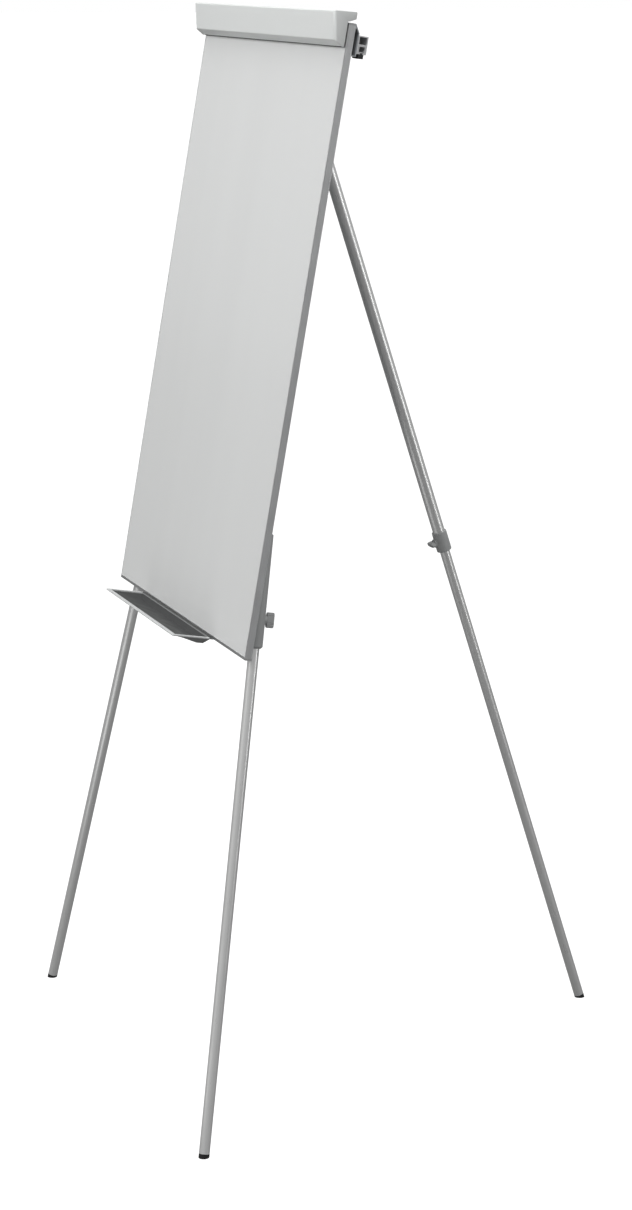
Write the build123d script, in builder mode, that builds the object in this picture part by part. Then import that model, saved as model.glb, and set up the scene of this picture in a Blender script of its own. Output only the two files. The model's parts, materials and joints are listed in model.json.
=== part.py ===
from build123d import *

import os
from math import cos, radians, sin, tan

# Tripod whiteboard easel, in millimetres. X runs across the board to the reader's right, Y runs back
# and Z up. The origin is on the floor, under the middle of the easel's footprint.

os.makedirs("parts", exist_ok=True)

# Clearances
running_fit = 0.05
sliding_gap = 0.4
rest_gap = 0.3
parallel_slack = 1e-6

# Board
board_width = 692.0
board_height = 1040.0
board_lean = 10.07
board_bottom_height = 807.0
sheet_thickness = 0.5
core_thickness = 10.1
backing_thickness = 0.4
trim_wall = 1.0
trim_front_lip = 1.6
trim_back_lip = 8.0
trim_proud = 0.5
trim_edge_radius = 0.4
end_trim_web = 3.5
end_trim_radius = 1.2

# Clamp bar: reaches are measured out from the writing face, rises from the board's top edge
clamp_overhang = 2.4
clamp_wall = 2.2
clamp_cap_thickness = 6.0
clamp_cap_radius = 5.0
clamp_bend_radius = 2.5
clamp_heel_radius = 1.5
clamp_cap_step_depth = 1.0
clamp_cap_step_drop = 1.0
clamp_back_depth = 10.3
clamp_back_rise = 18.4
clamp_back_height = 11.8
clamp_nose_reach = 30.1
clamp_nose_rise = 14.6
clamp_chin_reach = 20.5
clamp_chin_drop = 30.7
clamp_heel_reach = 3.4
clamp_heel_drop = 40.5
clamp_lip_height = 9.0
clamp_step_rise = 2.0
grip_strip_thickness = 2.8
grip_strip_margin = 1.0

# Clamp hinges
hinge_inset = 98.4
hinge_depth = 3.0
hinge_rise = 9.5
hinge_pin_radius = 2.0
lug_width = 12.0
lug_radius = 4.5
lug_base_width = 30.0
lug_base_thickness = 1.6
lug_base_margin = 0.5
lug_clearance = 2.0
knuckle_thickness = 3.0
knuckle_radius = 4.2
hinge_pin_end = 1.0
hinge_screw_radius = 1.5
hinge_screw_length = 8.0
hinge_screw_head_radius = 2.4
hinge_screw_head_height = 1.0

# Pad pegs
peg_rail_inset = 26.0
peg_rail_height = 18.0
peg_rail_depth = 6.0
peg_rail_wall = 1.5
peg_rail_slot = 8.0
peg_rail_drop = 15.0
peg_spacing = 460.0
peg_radius = 4.0
peg_length = 9.0
peg_tip_radius = 1.3
peg_collar_radius = 6.0
peg_collar_thickness = 1.2
peg_foot_length = 18.0
peg_screw_radius = 1.5
peg_screw_length = 7.0
peg_screw_head_radius = 2.7
peg_screw_head = 0.6
peg_screw_inset = 40.0

# Display rail
carrier_wall = 1.6
carrier_top_drop = 0.2
carrier_bend_drop = 14.0
carrier_foot_drop = 51.0
carrier_wall_depth = 18.3
rail_front_depth = 20.0
rail_depth = 16.5
rail_height = 29.0
rail_top_drop = 17.0
rail_wall = 1.8
rail_slot = 5.0
rail_screw_access = 1.0
arm_wall = 1.2
arm_middle_gap = 24.0
arm_clip_length = 26.0
arm_clip_height = 6.5
arm_clip_depth = 8.4
arm_clip_jaw = 0.8
arm_clip_jaw_height = 4.4
spacer_radius = 4.0
rail_screw_radius = 2.0
rail_screw_reach = 8.0
rail_screw_inset = 86.0

# Legs
leg_splay = 10.27
leg_inset = 32.2
leg_depth = 26.5
tube_radius = 11.0
tube_wall = 1.2
lower_radius = 9.0
lower_wall = 1.0
foot_height = 6.0
foot_stem_length = 20.0
leg_overlap = 92.0
bush_stem_length = 20.0
bush_head_length = 12.0

# Leg sleeves on the board's bottom corners
sleeve_start = 15.2
sleeve_length = 191.0
sleeve_radius = 14.0
sleeve_half_width = 12.0
sleeve_lower_bore_length = 80.0
sleeve_flange_start = 80.0
sleeve_flange_length = 80.0
sleeve_flange_width = 46.0
flange_thickness = 4.0
sleeve_screw_across = 18.0
sleeve_screw_along = 56.0
sleeve_chamfer = 3.5
sleeve_shoulder_radius = 2.5

# Wing screws and their inserts
wing_along = 48.9
wing_screw_radius = 3.0
wing_boss_height = 1.5
wing_boss_radius = 8.0
wing_hub_radius = 7.0
wing_hub_height = 2.0
wing_height = 14.2
rear_wing_height = 8.5
wing_span = 26.0
wing_thickness = 8.5
wing_corner_radius = 3.0
wing_edge_radius = 1.5
insert_radius = 4.5

# Head
socket_drop = 40.0
socket_length = 46.0
socket_bore_length = 28.0
socket_width = 34.0
socket_depth = 15.0
socket_corner_radius = 4.0
socket_flange_width = 64.0
socket_flange_length = 38.0
socket_screw_across = 25.0
board_screw_radius = 2.0
board_screw_reach = 8.0
screw_head_radius = 3.6
screw_head_height = 2.2
beam_thickness = 4.0
beam_height = 34.0
beam_overhang = 10.0
beam_screw_radius = 2.5
beam_screw_across = 10.0
beam_screw_length = 16.5
beam_screw_head_radius = 4.5
beam_screw_head_height = 3.0
beam_rise = 2.0
beam_corner_radius = 6.0

# Rear leg hinge
pivot_drop = 35.0
pivot_standoff = 8.1
bracket_wall = 2.5
bracket_gap = 24.0
bracket_height = 30.0
bracket_ear_radius = 10.0
bracket_screw_spread = 18.0
bracket_screw_radius = 2.0
bracket_screw_tail = 2.0
bracket_nut_radius = 3.8
bracket_nut_height = 2.8
pivot_pin_radius = 4.0
pivot_head_radius = 6.0
pivot_head_height = 3.0
pivot_tail = 3.0
pivot_clip_thickness = 1.0
pivot_clip_radius = 6.5
washer_radius = 7.8
washer_thickness = 1.2
tongue_width = 21.0
heel_height = 9.0
cap_shoulder_start = 22.0
cap_shoulder_length = 6.0
cap_plug_length = 30.0

# Rear leg
rear_leg_rake = 18.0
collar_centre = 884.8
collar_length = 37.0
collar_radius = 13.5
collar_tube_end = 5.5
collar_edge_radius = 1.5
collar_boss_height = 1.5

# Tray
tray_length = 386.0
tray_reach = 76.0
tray_back_gap = 1.0
tray_rim_rise = 3.0
tray_wall = 2.2
tray_rim_width = 7.0
tray_shelf_reach = 53.0
tray_floor_front = 24.0
tray_floor_back = 12.0
tray_floor_drop = 9.0
tray_shelf_drop = 0.8
tray_end_slope = 17.0
tray_corner_radius = 3.0
tray_hook_width = 240.0
tray_hook_depth = 11.5
tray_screw_spread = 100.0
tray_screw_radius = 1.5
tray_screw_reach = 8.0
tray_screw_head_radius = 3.0
tray_screw_head_height = 1.8

# Worked out from the sizes above
lean = radians(board_lean)
splay = radians(leg_splay)
rake = radians(rear_leg_rake)
back_face = sheet_thickness + core_thickness + backing_thickness
board_back = back_face + trim_wall
panel_width = board_width - 2 * trim_wall
panel_height = board_height - 2 * end_trim_web
clamp_length = board_width + 2 * clamp_overhang
hinge_spacing = clamp_length - 2 * hinge_inset
peg_rail_length = board_width - 2 * peg_rail_inset
peg_screw_spread = peg_rail_length / 2 - peg_screw_inset
rail_screw_spread = board_width / 2 - rail_screw_inset
leg_spread = board_width / 2 - leg_inset
socket_top = board_height - socket_drop
pivot_up = socket_top - pivot_drop
tube_bore = tube_radius - tube_wall
lower_bore = lower_radius - lower_wall
running_bore = lower_radius + running_fit
sides = (("left", -1), ("right", 1))

# The two front feet and the rear foot, found where each leg's axis meets the floor
socket_back = leg_depth + socket_depth
beam_back = socket_back + beam_thickness
bracket_face = beam_back + bracket_wall
pivot_depth = bracket_face + pivot_standoff
front_foot_up = -(board_bottom_height - leg_depth * sin(lean)) / cos(lean)
front_foot_back = front_foot_up * sin(lean) + leg_depth * cos(lean)
pivot_height = board_bottom_height + pivot_up * cos(lean) - pivot_depth * sin(lean)
pivot_back = pivot_up * sin(lean) + pivot_depth * cos(lean)
rear_foot_back = pivot_back + pivot_height * tan(rake)
front_limit = front_foot_back - lower_radius / cos(lean)
rear_limit = rear_foot_back + lower_radius / cos(rake)
board_back_shift = -(front_limit + rear_limit) / 2

# Directions and planes
across = Vector(1, 0, 0)
up_board = Vector(0, sin(lean), cos(lean))
out_of_board = Vector(0, -cos(lean), sin(lean))
board_corner = Vector(0, board_back_shift, board_bottom_height)
face_plane = Plane(board_corner, x_dir=across, z_dir=out_of_board)
up_axis = Axis(board_corner, up_board)
out_axis = Axis(board_corner, out_of_board)


def behind(depth):
    """The plane parallel to the writing face, this far behind it. Local X is across, Y is up."""
    return face_plane.offset(-depth)


def board_section(offset=0.0):
    """The plane across the board at this X. Local X is the depth behind the face, Y is up."""
    return Plane(board_corner + across * offset, x_dir=-out_of_board, z_dir=across)


def level(up):
    """The plane square to the face at this height up the board. Local X is across, Y is depth."""
    return Plane(board_corner + up_board * up, x_dir=across, z_dir=up_board)


def leg_spot(side, along, sideways=0.0):
    """Board position of a point beside a front leg's axis, this far along it and outward of it."""
    x = leg_spread - along * sin(splay) + sideways * cos(splay)
    return (side * x, along * cos(splay) + sideways * sin(splay))


def leg_plane(side, along):
    """The plane square to a front leg's axis. Local X points back from the board."""
    x, up = leg_spot(side, along)
    centre = board_corner + across * x + up_board * up - out_of_board * leg_depth
    direction = up_board * cos(splay) - across * (side * sin(splay))
    return Plane(centre, x_dir=-out_of_board, z_dir=direction)


def leg_back_plane(side, along, outward):
    """The plane facing back from a front leg, this far behind its axis. Local X runs along the leg."""
    base = leg_plane(side, along)
    return Plane(base.origin + base.x_dir * outward, x_dir=base.z_dir, z_dir=base.x_dir)


rear_down = Vector(0, sin(rake), -cos(rake))
pivot_point = Vector(0, board_back_shift + pivot_back, pivot_height)


def rear_plane(along):
    """The plane square to the rear leg's axis, this far below its pivot. Local Y points forward."""
    return Plane(pivot_point + rear_down * along, x_dir=across, z_dir=rear_down)


def rear_front_plane(along, outward):
    """The plane facing forward from the rear leg, this far in front of its axis."""
    base = rear_plane(along)
    return Plane(base.origin + base.y_dir * outward, x_dir=rear_down, z_dir=base.y_dir)


def trim_align(side):
    """Alignment that keeps a side trim's section inside the board's outline."""
    return Align.MIN if side < 0 else Align.MAX


def runs_along(direction):
    """A filter for straight edges that run along this direction."""

    def matches(edge):
        straight = edge.geom_type == GeomType.LINE
        return straight and abs(edge.tangent_at(0.5).dot(direction)) > 1 - parallel_slack

    return matches


def save(piece, name):
    """Label a finished piece and write its file."""
    piece.part.label = name
    export_step(piece.part, f"parts/{name}.step")


# Places of the screws that enter the board from behind
sleeve_screw_ends = (
    sleeve_flange_start + (sleeve_flange_length - sleeve_screw_along) / 2,
    sleeve_flange_start + (sleeve_flange_length + sleeve_screw_along) / 2,
)
sleeve_screw_spots = [
    leg_spot(side, along, sideways)
    for name, side in sides
    for along in sleeve_screw_ends
    for sideways in (-sleeve_screw_across, sleeve_screw_across)
]
socket_screw_spots = [
    leg_spot(side, socket_top - socket_length / 2, sideways)
    for name, side in sides
    for sideways in (-socket_screw_across, socket_screw_across)
]
beam_screw_along = socket_top - (socket_length - socket_bore_length) / 2
beam_screw_spots = [
    leg_spot(side, beam_screw_along, sideways)
    for name, side in sides
    for sideways in (-beam_screw_across, beam_screw_across)
]
rail_chamber_height = (rail_height - 3 * rail_wall) / 2
upper_chamber_up = board_height - rail_top_drop - rail_wall - rail_chamber_height / 2
lower_chamber_up = upper_chamber_up - rail_chamber_height - rail_wall
rail_screw_spots = [(x, upper_chamber_up) for x in (-rail_screw_spread, 0, rail_screw_spread)]
back_screw_spots = sleeve_screw_spots + socket_screw_spots + rail_screw_spots

# Places of the other screws
peg_rail_up = board_height - peg_rail_drop
peg_screw_spots = [(x, peg_rail_up) for x in (-peg_screw_spread, 0, peg_screw_spread)]
lug_centres = (-hinge_spacing / 2, hinge_spacing / 2)
hinge_screw_offset = (lug_width + lug_base_width) / 4
hinge_screw_spots = [
    (centre + offset, board_back / 2)
    for centre in lug_centres
    for offset in (-hinge_screw_offset, hinge_screw_offset)
]
tray_screw_spots = [(x, board_back / 2) for x in (-tray_screw_spread, 0, tray_screw_spread)]


# Board

with BuildPart() as writing_sheet:
    with BuildSketch(face_plane):
        with Locations((0, board_height / 2)):
            Rectangle(panel_width, panel_height)
    extrude(amount=-sheet_thickness)
    with BuildSketch(face_plane):
        with Locations(peg_screw_spots):
            Circle(peg_screw_radius)
    extrude(amount=-sheet_thickness, mode=Mode.SUBTRACT)
save(writing_sheet, "writing_sheet")

with BuildPart() as board_core:
    with BuildSketch(behind(sheet_thickness)):
        with Locations((0, board_height / 2)):
            Rectangle(panel_width, panel_height)
    extrude(amount=-core_thickness)
    with BuildSketch(behind(sheet_thickness)):
        with Locations(peg_screw_spots):
            Circle(peg_screw_radius)
    extrude(amount=-(peg_screw_length - sheet_thickness), mode=Mode.SUBTRACT)
    with BuildSketch(behind(back_face - board_screw_reach)):
        with Locations(back_screw_spots):
            Circle(board_screw_radius)
    extrude(amount=-board_screw_reach, mode=Mode.SUBTRACT)
    with BuildSketch(level(board_height - hinge_screw_length)):
        with Locations(hinge_screw_spots):
            Circle(hinge_screw_radius)
    extrude(amount=hinge_screw_length, mode=Mode.SUBTRACT)
    with BuildSketch(level(0)):
        with Locations(tray_screw_spots):
            Circle(tray_screw_radius)
    extrude(amount=tray_screw_reach, mode=Mode.SUBTRACT)
save(board_core, "board_core")

with BuildPart() as backing_sheet:
    with BuildSketch(behind(sheet_thickness + core_thickness)):
        with Locations((0, board_height / 2)):
            Rectangle(panel_width, panel_height)
        with Locations(back_screw_spots):
            Circle(board_screw_radius, mode=Mode.SUBTRACT)
    extrude(amount=-backing_thickness)
save(backing_sheet, "backing_sheet")


def side_trim(side):
    """A U trim along one upright edge of the panel."""
    edge = side * board_width / 2
    depth = board_back + trim_proud
    with BuildPart() as trim:
        with BuildSketch(level(end_trim_web)):
            with Locations((edge, -trim_proud)):
                Rectangle(trim_wall, depth, align=(trim_align(side), Align.MIN))
                Rectangle(trim_front_lip, trim_proud, align=(trim_align(side), Align.MIN))
            with Locations((edge, board_back)):
                Rectangle(trim_back_lip, trim_wall, align=(trim_align(side), Align.MAX))
        extrude(amount=panel_height)
        outer = trim.edges().filter_by(runs_along(up_board)).group_by(Axis.X)[0 if side < 0 else -1]
        fillet(outer, radius=trim_edge_radius)
    return trim


for name, side in sides:
    save(side_trim(side), f"edge_trim_{name}")


def end_trim(up, inward, screw_spots, screw_radius):
    """The U trim along the panel's top or bottom edge. inward points from the edge to the panel."""
    low = min(0, inward * end_trim_web)
    front_align = (Align.MIN, Align.MIN if inward > 0 else Align.MAX)
    back_align = (Align.MAX, Align.MIN if inward > 0 else Align.MAX)
    with BuildPart() as trim:
        with BuildSketch(board_section()):
            with Locations((-trim_proud, up + low)):
                Rectangle(board_back + trim_proud, end_trim_web, align=(Align.MIN, Align.MIN))
        extrude(amount=board_width / 2, both=True)
        corners = trim.edges().filter_by(Axis.X).group_by(up_axis)[0 if inward > 0 else -1]
        fillet(corners, radius=end_trim_radius)
        with BuildSketch(board_section()):
            with Locations((-trim_proud, up + inward * end_trim_web)):
                Rectangle(trim_proud, trim_front_lip, align=front_align)
        extrude(amount=board_width / 2 - trim_front_lip, both=True)
        with BuildSketch(board_section()):
            with Locations((board_back, up + inward * end_trim_web)):
                Rectangle(trim_wall, trim_back_lip, align=back_align)
        extrude(amount=board_width / 2 - trim_back_lip, both=True)
        with BuildSketch(level(up)):
            with Locations(screw_spots):
                Circle(screw_radius)
        extrude(amount=inward * end_trim_web, mode=Mode.SUBTRACT)
    return trim


save(end_trim(board_height, -1, hinge_screw_spots, hinge_screw_radius), "edge_trim_top")
save(end_trim(0, 1, tray_screw_spots, tray_screw_radius), "edge_trim_bottom")


# Clamp bar

bar_half = clamp_length / 2 - clamp_cap_thickness
clamp_top_back = (clamp_back_depth, board_height + clamp_back_rise)
clamp_nose = (-clamp_nose_reach, board_height + clamp_nose_rise)
clamp_chin = (-clamp_chin_reach, board_height - clamp_chin_drop)
clamp_heel = (-clamp_heel_reach, board_height - clamp_heel_drop)
clamp_lip_top = (-clamp_heel_reach, board_height - clamp_heel_drop + clamp_lip_height)
clamp_back_foot = (clamp_back_depth, board_height + clamp_back_rise - clamp_back_height)
cap_step = (clamp_cap_step_depth, board_height + clamp_step_rise)
cap_face_top = (-clamp_heel_reach, board_height + clamp_step_rise - clamp_cap_step_drop)
hinge_spot = (hinge_depth, board_height + hinge_rise)
knuckle_offset = lug_width / 2 + sliding_gap + knuckle_thickness / 2

with BuildPart() as clamp_bar:
    with BuildSketch(board_section()):
        with BuildLine():
            FilletPolyline(
                clamp_back_foot,
                clamp_top_back,
                clamp_nose,
                clamp_chin,
                clamp_heel,
                clamp_lip_top,
                radius=clamp_bend_radius,
            )
            offset(amount=clamp_wall, side=Side.LEFT, kind=Kind.INTERSECTION)
        make_face()
    extrude(amount=bar_half, both=True)
    for centre in lug_centres:
        with BuildSketch(board_section(centre)):
            with Locations((clamp_back_depth, board_height)):
                Rectangle(
                    clamp_wall + running_fit,
                    clamp_back_rise - clamp_wall,
                    align=(Align.MAX, Align.MIN),
                )
        extrude(amount=lug_base_width / 2 + lug_clearance, both=True, mode=Mode.SUBTRACT)
        for offset_x in (-knuckle_offset, knuckle_offset):
            with BuildSketch(board_section(centre + offset_x)):
                with Locations(hinge_spot):
                    Circle(knuckle_radius)
                    Rectangle(
                        2 * knuckle_radius,
                        clamp_back_rise - hinge_rise - clamp_wall / 2,
                        align=(Align.CENTER, Align.MIN),
                    )
                    Circle(hinge_pin_radius, mode=Mode.SUBTRACT)
            extrude(amount=knuckle_thickness / 2, both=True)
save(clamp_bar, "clamp_bar")


cap_radii = (0, clamp_bend_radius, clamp_bend_radius, clamp_bend_radius, clamp_heel_radius, 0, 0)


def clamp_corner_plane(side):
    """The plane square to the clamp bar's front corner. Local X points to the end, Y to the front."""
    slope = up_board * (clamp_nose[1] - clamp_chin[1]) - out_of_board * (clamp_nose[0] - clamp_chin[0])
    chin = board_corner + up_board * clamp_chin[1] - out_of_board * clamp_chin[0]
    return Plane(chin + across * (side * clamp_length / 2), x_dir=across * side, z_dir=slope * -side)


def clamp_cap(side):
    """The closed end of the clamp bar."""
    with BuildPart() as cap:
        with BuildSketch(board_section(side * bar_half)):
            with BuildLine():
                FilletPolyline(
                    clamp_back_foot,
                    clamp_top_back,
                    clamp_nose,
                    clamp_chin,
                    clamp_heel,
                    cap_face_top,
                    cap_step,
                    radius=cap_radii,
                    close=True,
                )
            make_face()
        extrude(amount=side * clamp_cap_thickness)
        with BuildSketch(clamp_corner_plane(side)):
            with Locations((-clamp_cap_radius, -clamp_cap_radius)):
                Rectangle(clamp_cap_radius, clamp_cap_radius, align=(Align.MIN, Align.MIN))
                Circle(clamp_cap_radius, mode=Mode.SUBTRACT)
        extrude(amount=clamp_length / 2, both=True, mode=Mode.SUBTRACT)
    return cap


for name, side in sides:
    save(clamp_cap(side), f"clamp_cap_{name}")

with BuildPart() as clamp_grip_strip:
    with BuildSketch(board_section()):
        with Locations((-clamp_heel_reach, clamp_lip_top[1])):
            Rectangle(
                grip_strip_thickness,
                clamp_lip_height - grip_strip_margin,
                align=(Align.MIN, Align.MAX),
            )
    extrude(amount=bar_half - sliding_gap, both=True)
save(clamp_grip_strip, "clamp_grip_strip")


# Clamp hinges


def hinge_lug(centre):
    """A lug on the board's top edge that the clamp bar swings on."""
    with BuildPart() as lug:
        with BuildSketch(board_section(centre)):
            with Locations((board_back / 2, board_height)):
                Rectangle(
                    board_back - 2 * lug_base_margin,
                    lug_base_thickness,
                    align=(Align.CENTER, Align.MIN),
                )
        extrude(amount=lug_base_width / 2, both=True)
        with BuildSketch(board_section(centre)):
            with Locations((hinge_depth, board_height)):
                Rectangle(2 * lug_radius, hinge_rise, align=(Align.CENTER, Align.MIN))
            with Locations(hinge_spot):
                Circle(lug_radius)
        extrude(amount=lug_width / 2, both=True)
        with BuildSketch(board_section(centre)):
            with Locations(hinge_spot):
                Circle(hinge_pin_radius + running_fit)
        extrude(amount=lug_width / 2, both=True, mode=Mode.SUBTRACT)
        with BuildSketch(level(board_height)):
            with Locations(hinge_screw_spots):
                Circle(hinge_screw_radius)
        extrude(amount=lug_base_thickness, mode=Mode.SUBTRACT)
    return lug


for (name, side), centre in zip(sides, lug_centres):
    save(hinge_lug(centre), f"hinge_lug_{name}")

pin_half = knuckle_offset + knuckle_thickness / 2 + hinge_pin_end
with BuildPart() as clamp_hinge_pins:
    for centre in lug_centres:
        with BuildSketch(board_section(centre)):
            with Locations(hinge_spot):
                Circle(hinge_pin_radius)
        extrude(amount=pin_half, both=True)
save(clamp_hinge_pins, "clamp_hinge_pins")

with BuildPart() as hinge_screws:
    with BuildSketch(level(board_height - hinge_screw_length)):
        with Locations(hinge_screw_spots):
            Circle(hinge_screw_radius)
    extrude(amount=hinge_screw_length + lug_base_thickness)
    with BuildSketch(level(board_height + lug_base_thickness)):
        with Locations(hinge_screw_spots):
            Circle(hinge_screw_head_radius)
    extrude(amount=hinge_screw_head_height)
save(hinge_screws, "hinge_screws")


# Pad pegs

slot_half = peg_rail_slot / 2
channel_half = peg_rail_height / 2 - peg_rail_wall

with BuildPart() as peg_rail:
    with BuildSketch(board_section()):
        with Locations((0, peg_rail_up)):
            Rectangle(peg_rail_depth, peg_rail_height, align=(Align.MAX, Align.CENTER))
        with Locations((-peg_rail_wall, peg_rail_up)):
            Rectangle(
                peg_rail_depth - 2 * peg_rail_wall,
                2 * channel_half,
                align=(Align.MAX, Align.CENTER),
                mode=Mode.SUBTRACT,
            )
            Rectangle(peg_rail_depth, peg_rail_slot, align=(Align.MAX, Align.CENTER), mode=Mode.SUBTRACT)
    extrude(amount=peg_rail_length / 2, both=True)
    with BuildSketch(face_plane):
        with Locations(peg_screw_spots):
            Circle(peg_screw_radius)
    extrude(amount=peg_rail_wall, mode=Mode.SUBTRACT)
save(peg_rail, "peg_rail")

with BuildPart() as peg_rail_screws:
    with BuildSketch(behind(peg_screw_length)):
        with Locations(peg_screw_spots):
            Circle(peg_screw_radius)
    extrude(amount=peg_screw_length + peg_rail_wall)
    with BuildSketch(behind(-peg_rail_wall)):
        with Locations(peg_screw_spots):
            Circle(peg_screw_head_radius)
    extrude(amount=peg_screw_head)
save(peg_rail_screws, "peg_rail_screws")


def pad_peg(centre):
    """A round peg whose foot slides in the peg rail."""
    foot_start = peg_rail_wall + peg_screw_head + sliding_gap
    foot_end = peg_rail_depth - peg_rail_wall - sliding_gap / 2
    collar_start = peg_rail_depth + sliding_gap / 2
    with BuildPart() as peg:
        with BuildSketch(behind(-foot_start)):
            with Locations((centre, peg_rail_up)):
                Rectangle(peg_foot_length, 2 * (channel_half - sliding_gap))
        extrude(amount=foot_end - foot_start)
        with BuildSketch(behind(-foot_end)):
            with Locations((centre, peg_rail_up)):
                Rectangle(peg_rail_slot - 2 * sliding_gap, peg_rail_slot - 2 * sliding_gap)
        extrude(amount=collar_start - foot_end)
        with BuildSketch(behind(-collar_start)):
            with Locations((centre, peg_rail_up)):
                Circle(peg_collar_radius)
        extrude(amount=peg_collar_thickness)
        with BuildSketch(behind(-collar_start - peg_collar_thickness)):
            with Locations((centre, peg_rail_up)):
                Circle(peg_radius)
        extrude(amount=peg_length)
        tip = peg.edges().filter_by(GeomType.CIRCLE).sort_by(out_axis)[-1]
        fillet(tip, radius=peg_tip_radius)
    return peg


for name, side in sides:
    save(pad_peg(side * peg_spacing / 2), f"peg_{name}")


# Display rail behind the board's top edge

carrier_wall_back = carrier_wall_depth + carrier_wall
carrier_line = (
    (board_back, board_height - carrier_top_drop - trim_back_lip),
    (board_back, board_height - carrier_top_drop),
    (carrier_wall_back, board_height - carrier_bend_drop),
    (carrier_wall_back, board_height - carrier_foot_drop),
    (board_back, board_height - carrier_foot_drop),
)
with BuildPart() as rail_carrier:
    with BuildSketch(board_section()):
        with BuildLine():
            Polyline(*carrier_line)
            offset(amount=carrier_wall, side=Side.RIGHT, kind=Kind.INTERSECTION)
        make_face()
    extrude(amount=board_width / 2, both=True)
    with BuildSketch(behind(carrier_wall_back)):
        with Locations(rail_screw_spots):
            Circle(rail_screw_radius)
    extrude(amount=carrier_wall, mode=Mode.SUBTRACT)
save(rail_carrier, "rail_carrier")

rail_back = rail_front_depth + rail_depth
chamber_depth = rail_depth - 2 * rail_wall
chamber_front = rail_front_depth + rail_wall
rail_centre_up = board_height - rail_top_drop - rail_height / 2
rail_foot_up = board_height - rail_top_drop - rail_height
rail_centre_depth = rail_front_depth + rail_depth / 2

with BuildPart() as display_rail:
    with BuildSketch(board_section()):
        with Locations((rail_centre_depth, rail_centre_up)):
            Rectangle(rail_depth, rail_height)
        with Locations((rail_centre_depth, upper_chamber_up), (rail_centre_depth, lower_chamber_up)):
            Rectangle(chamber_depth, rail_chamber_height, mode=Mode.SUBTRACT)
        with Locations((rail_centre_depth, rail_foot_up)):
            Rectangle(rail_slot, 3 * rail_wall, mode=Mode.SUBTRACT)
    extrude(amount=board_width / 2, both=True)
    with BuildSketch(behind(rail_back)):
        with Locations(rail_screw_spots):
            Circle(screw_head_radius + rail_screw_access)
    extrude(amount=rail_wall, mode=Mode.SUBTRACT)
    with BuildSketch(behind(chamber_front)):
        with Locations(rail_screw_spots):
            Circle(rail_screw_radius)
    extrude(amount=rail_wall, mode=Mode.SUBTRACT)
save(display_rail, "display_rail")

with BuildPart() as rail_spacers:
    with BuildSketch(behind(carrier_wall_depth)):
        with Locations(rail_screw_spots):
            Circle(spacer_radius)
            Circle(rail_screw_radius, mode=Mode.SUBTRACT)
    extrude(amount=carrier_wall_depth - back_face)
save(rail_spacers, "rail_spacers")

with BuildPart() as rail_screws:
    with BuildSketch(behind(chamber_front)):
        with Locations(rail_screw_spots):
            Circle(rail_screw_radius)
    extrude(amount=chamber_front - (back_face - rail_screw_reach))
    with BuildSketch(behind(chamber_front + screw_head_height)):
        with Locations(rail_screw_spots):
            Circle(screw_head_radius)
    extrude(amount=screw_head_height)
save(rail_screws, "rail_screws")

arm_length = (board_width - arm_middle_gap) / 2
arm_height = rail_chamber_height - 2 * sliding_gap
arm_depth = chamber_depth - 2 * sliding_gap


def display_arm(side):
    """A hollow arm that slides out of the lower chamber of the display rail."""
    with BuildPart() as arm:
        with BuildSketch(board_section(side * board_width / 2)):
            with Locations((rail_centre_depth, lower_chamber_up)):
                Rectangle(arm_depth, arm_height)
                Rectangle(arm_depth - 2 * arm_wall, arm_height - 2 * arm_wall, mode=Mode.SUBTRACT)
        extrude(amount=-side * arm_length)
    return arm


def arm_clip(side):
    """A clip under the outer end of an arm, with a stem that runs in the rail's slot."""
    arm_foot_up = lower_chamber_up - arm_height / 2
    clip_top_up = rail_foot_up - sliding_gap
    with BuildPart() as clip:
        with BuildSketch(board_section(side * board_width / 2)):
            with Locations((rail_centre_depth, arm_foot_up)):
                Rectangle(
                    rail_slot - 2 * sliding_gap,
                    arm_foot_up - clip_top_up,
                    align=(Align.CENTER, Align.MAX),
                )
            with Locations((rail_centre_depth, clip_top_up)):
                Rectangle(arm_clip_depth, arm_clip_height, align=(Align.CENTER, Align.MAX))
            with Locations((rail_centre_depth, clip_top_up - arm_clip_height)):
                Rectangle(
                    arm_clip_jaw,
                    arm_clip_jaw_height,
                    align=(Align.CENTER, Align.MIN),
                    mode=Mode.SUBTRACT,
                )
        extrude(amount=-side * arm_clip_length)
    return clip


for name, side in sides:
    save(display_arm(side), f"display_arm_{name}")
    save(arm_clip(side), f"arm_clip_{name}")


# Head: sockets for the front tubes and the beam across them


def leg_socket(side):
    """The block that holds the top of a front tube against the board's back."""
    seat = leg_depth - back_face
    with BuildPart() as socket:
        with BuildSketch(leg_plane(side, socket_top - socket_length)):
            with Locations((-seat, 0)):
                Rectangle(seat + socket_depth, socket_width, align=(Align.MIN, Align.CENTER))
        extrude(amount=socket_length)
        corners = socket.edges().group_by(out_axis)[0].filter_by(runs_along(leg_plane(side, 0).z_dir))
        fillet(corners, radius=socket_corner_radius)
        flange_start = socket_top - (socket_length + socket_flange_length) / 2
        with BuildSketch(leg_plane(side, flange_start)):
            with Locations((-seat, 0)):
                Rectangle(flange_thickness, socket_flange_width, align=(Align.MIN, Align.CENTER))
        extrude(amount=socket_flange_length)
        with BuildSketch(leg_plane(side, socket_top - socket_length)):
            Circle(tube_radius)
        extrude(amount=socket_bore_length, mode=Mode.SUBTRACT)
        with BuildSketch(behind(back_face + flange_thickness)):
            with Locations(socket_screw_spots):
                Circle(board_screw_radius)
        extrude(amount=flange_thickness, mode=Mode.SUBTRACT)
        with BuildSketch(behind(socket_back)):
            with Locations(beam_screw_spots):
                Circle(beam_screw_radius)
        extrude(amount=beam_screw_length - beam_thickness, mode=Mode.SUBTRACT)
    return socket


for name, side in sides:
    save(leg_socket(side), f"leg_socket_{name}")

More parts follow.
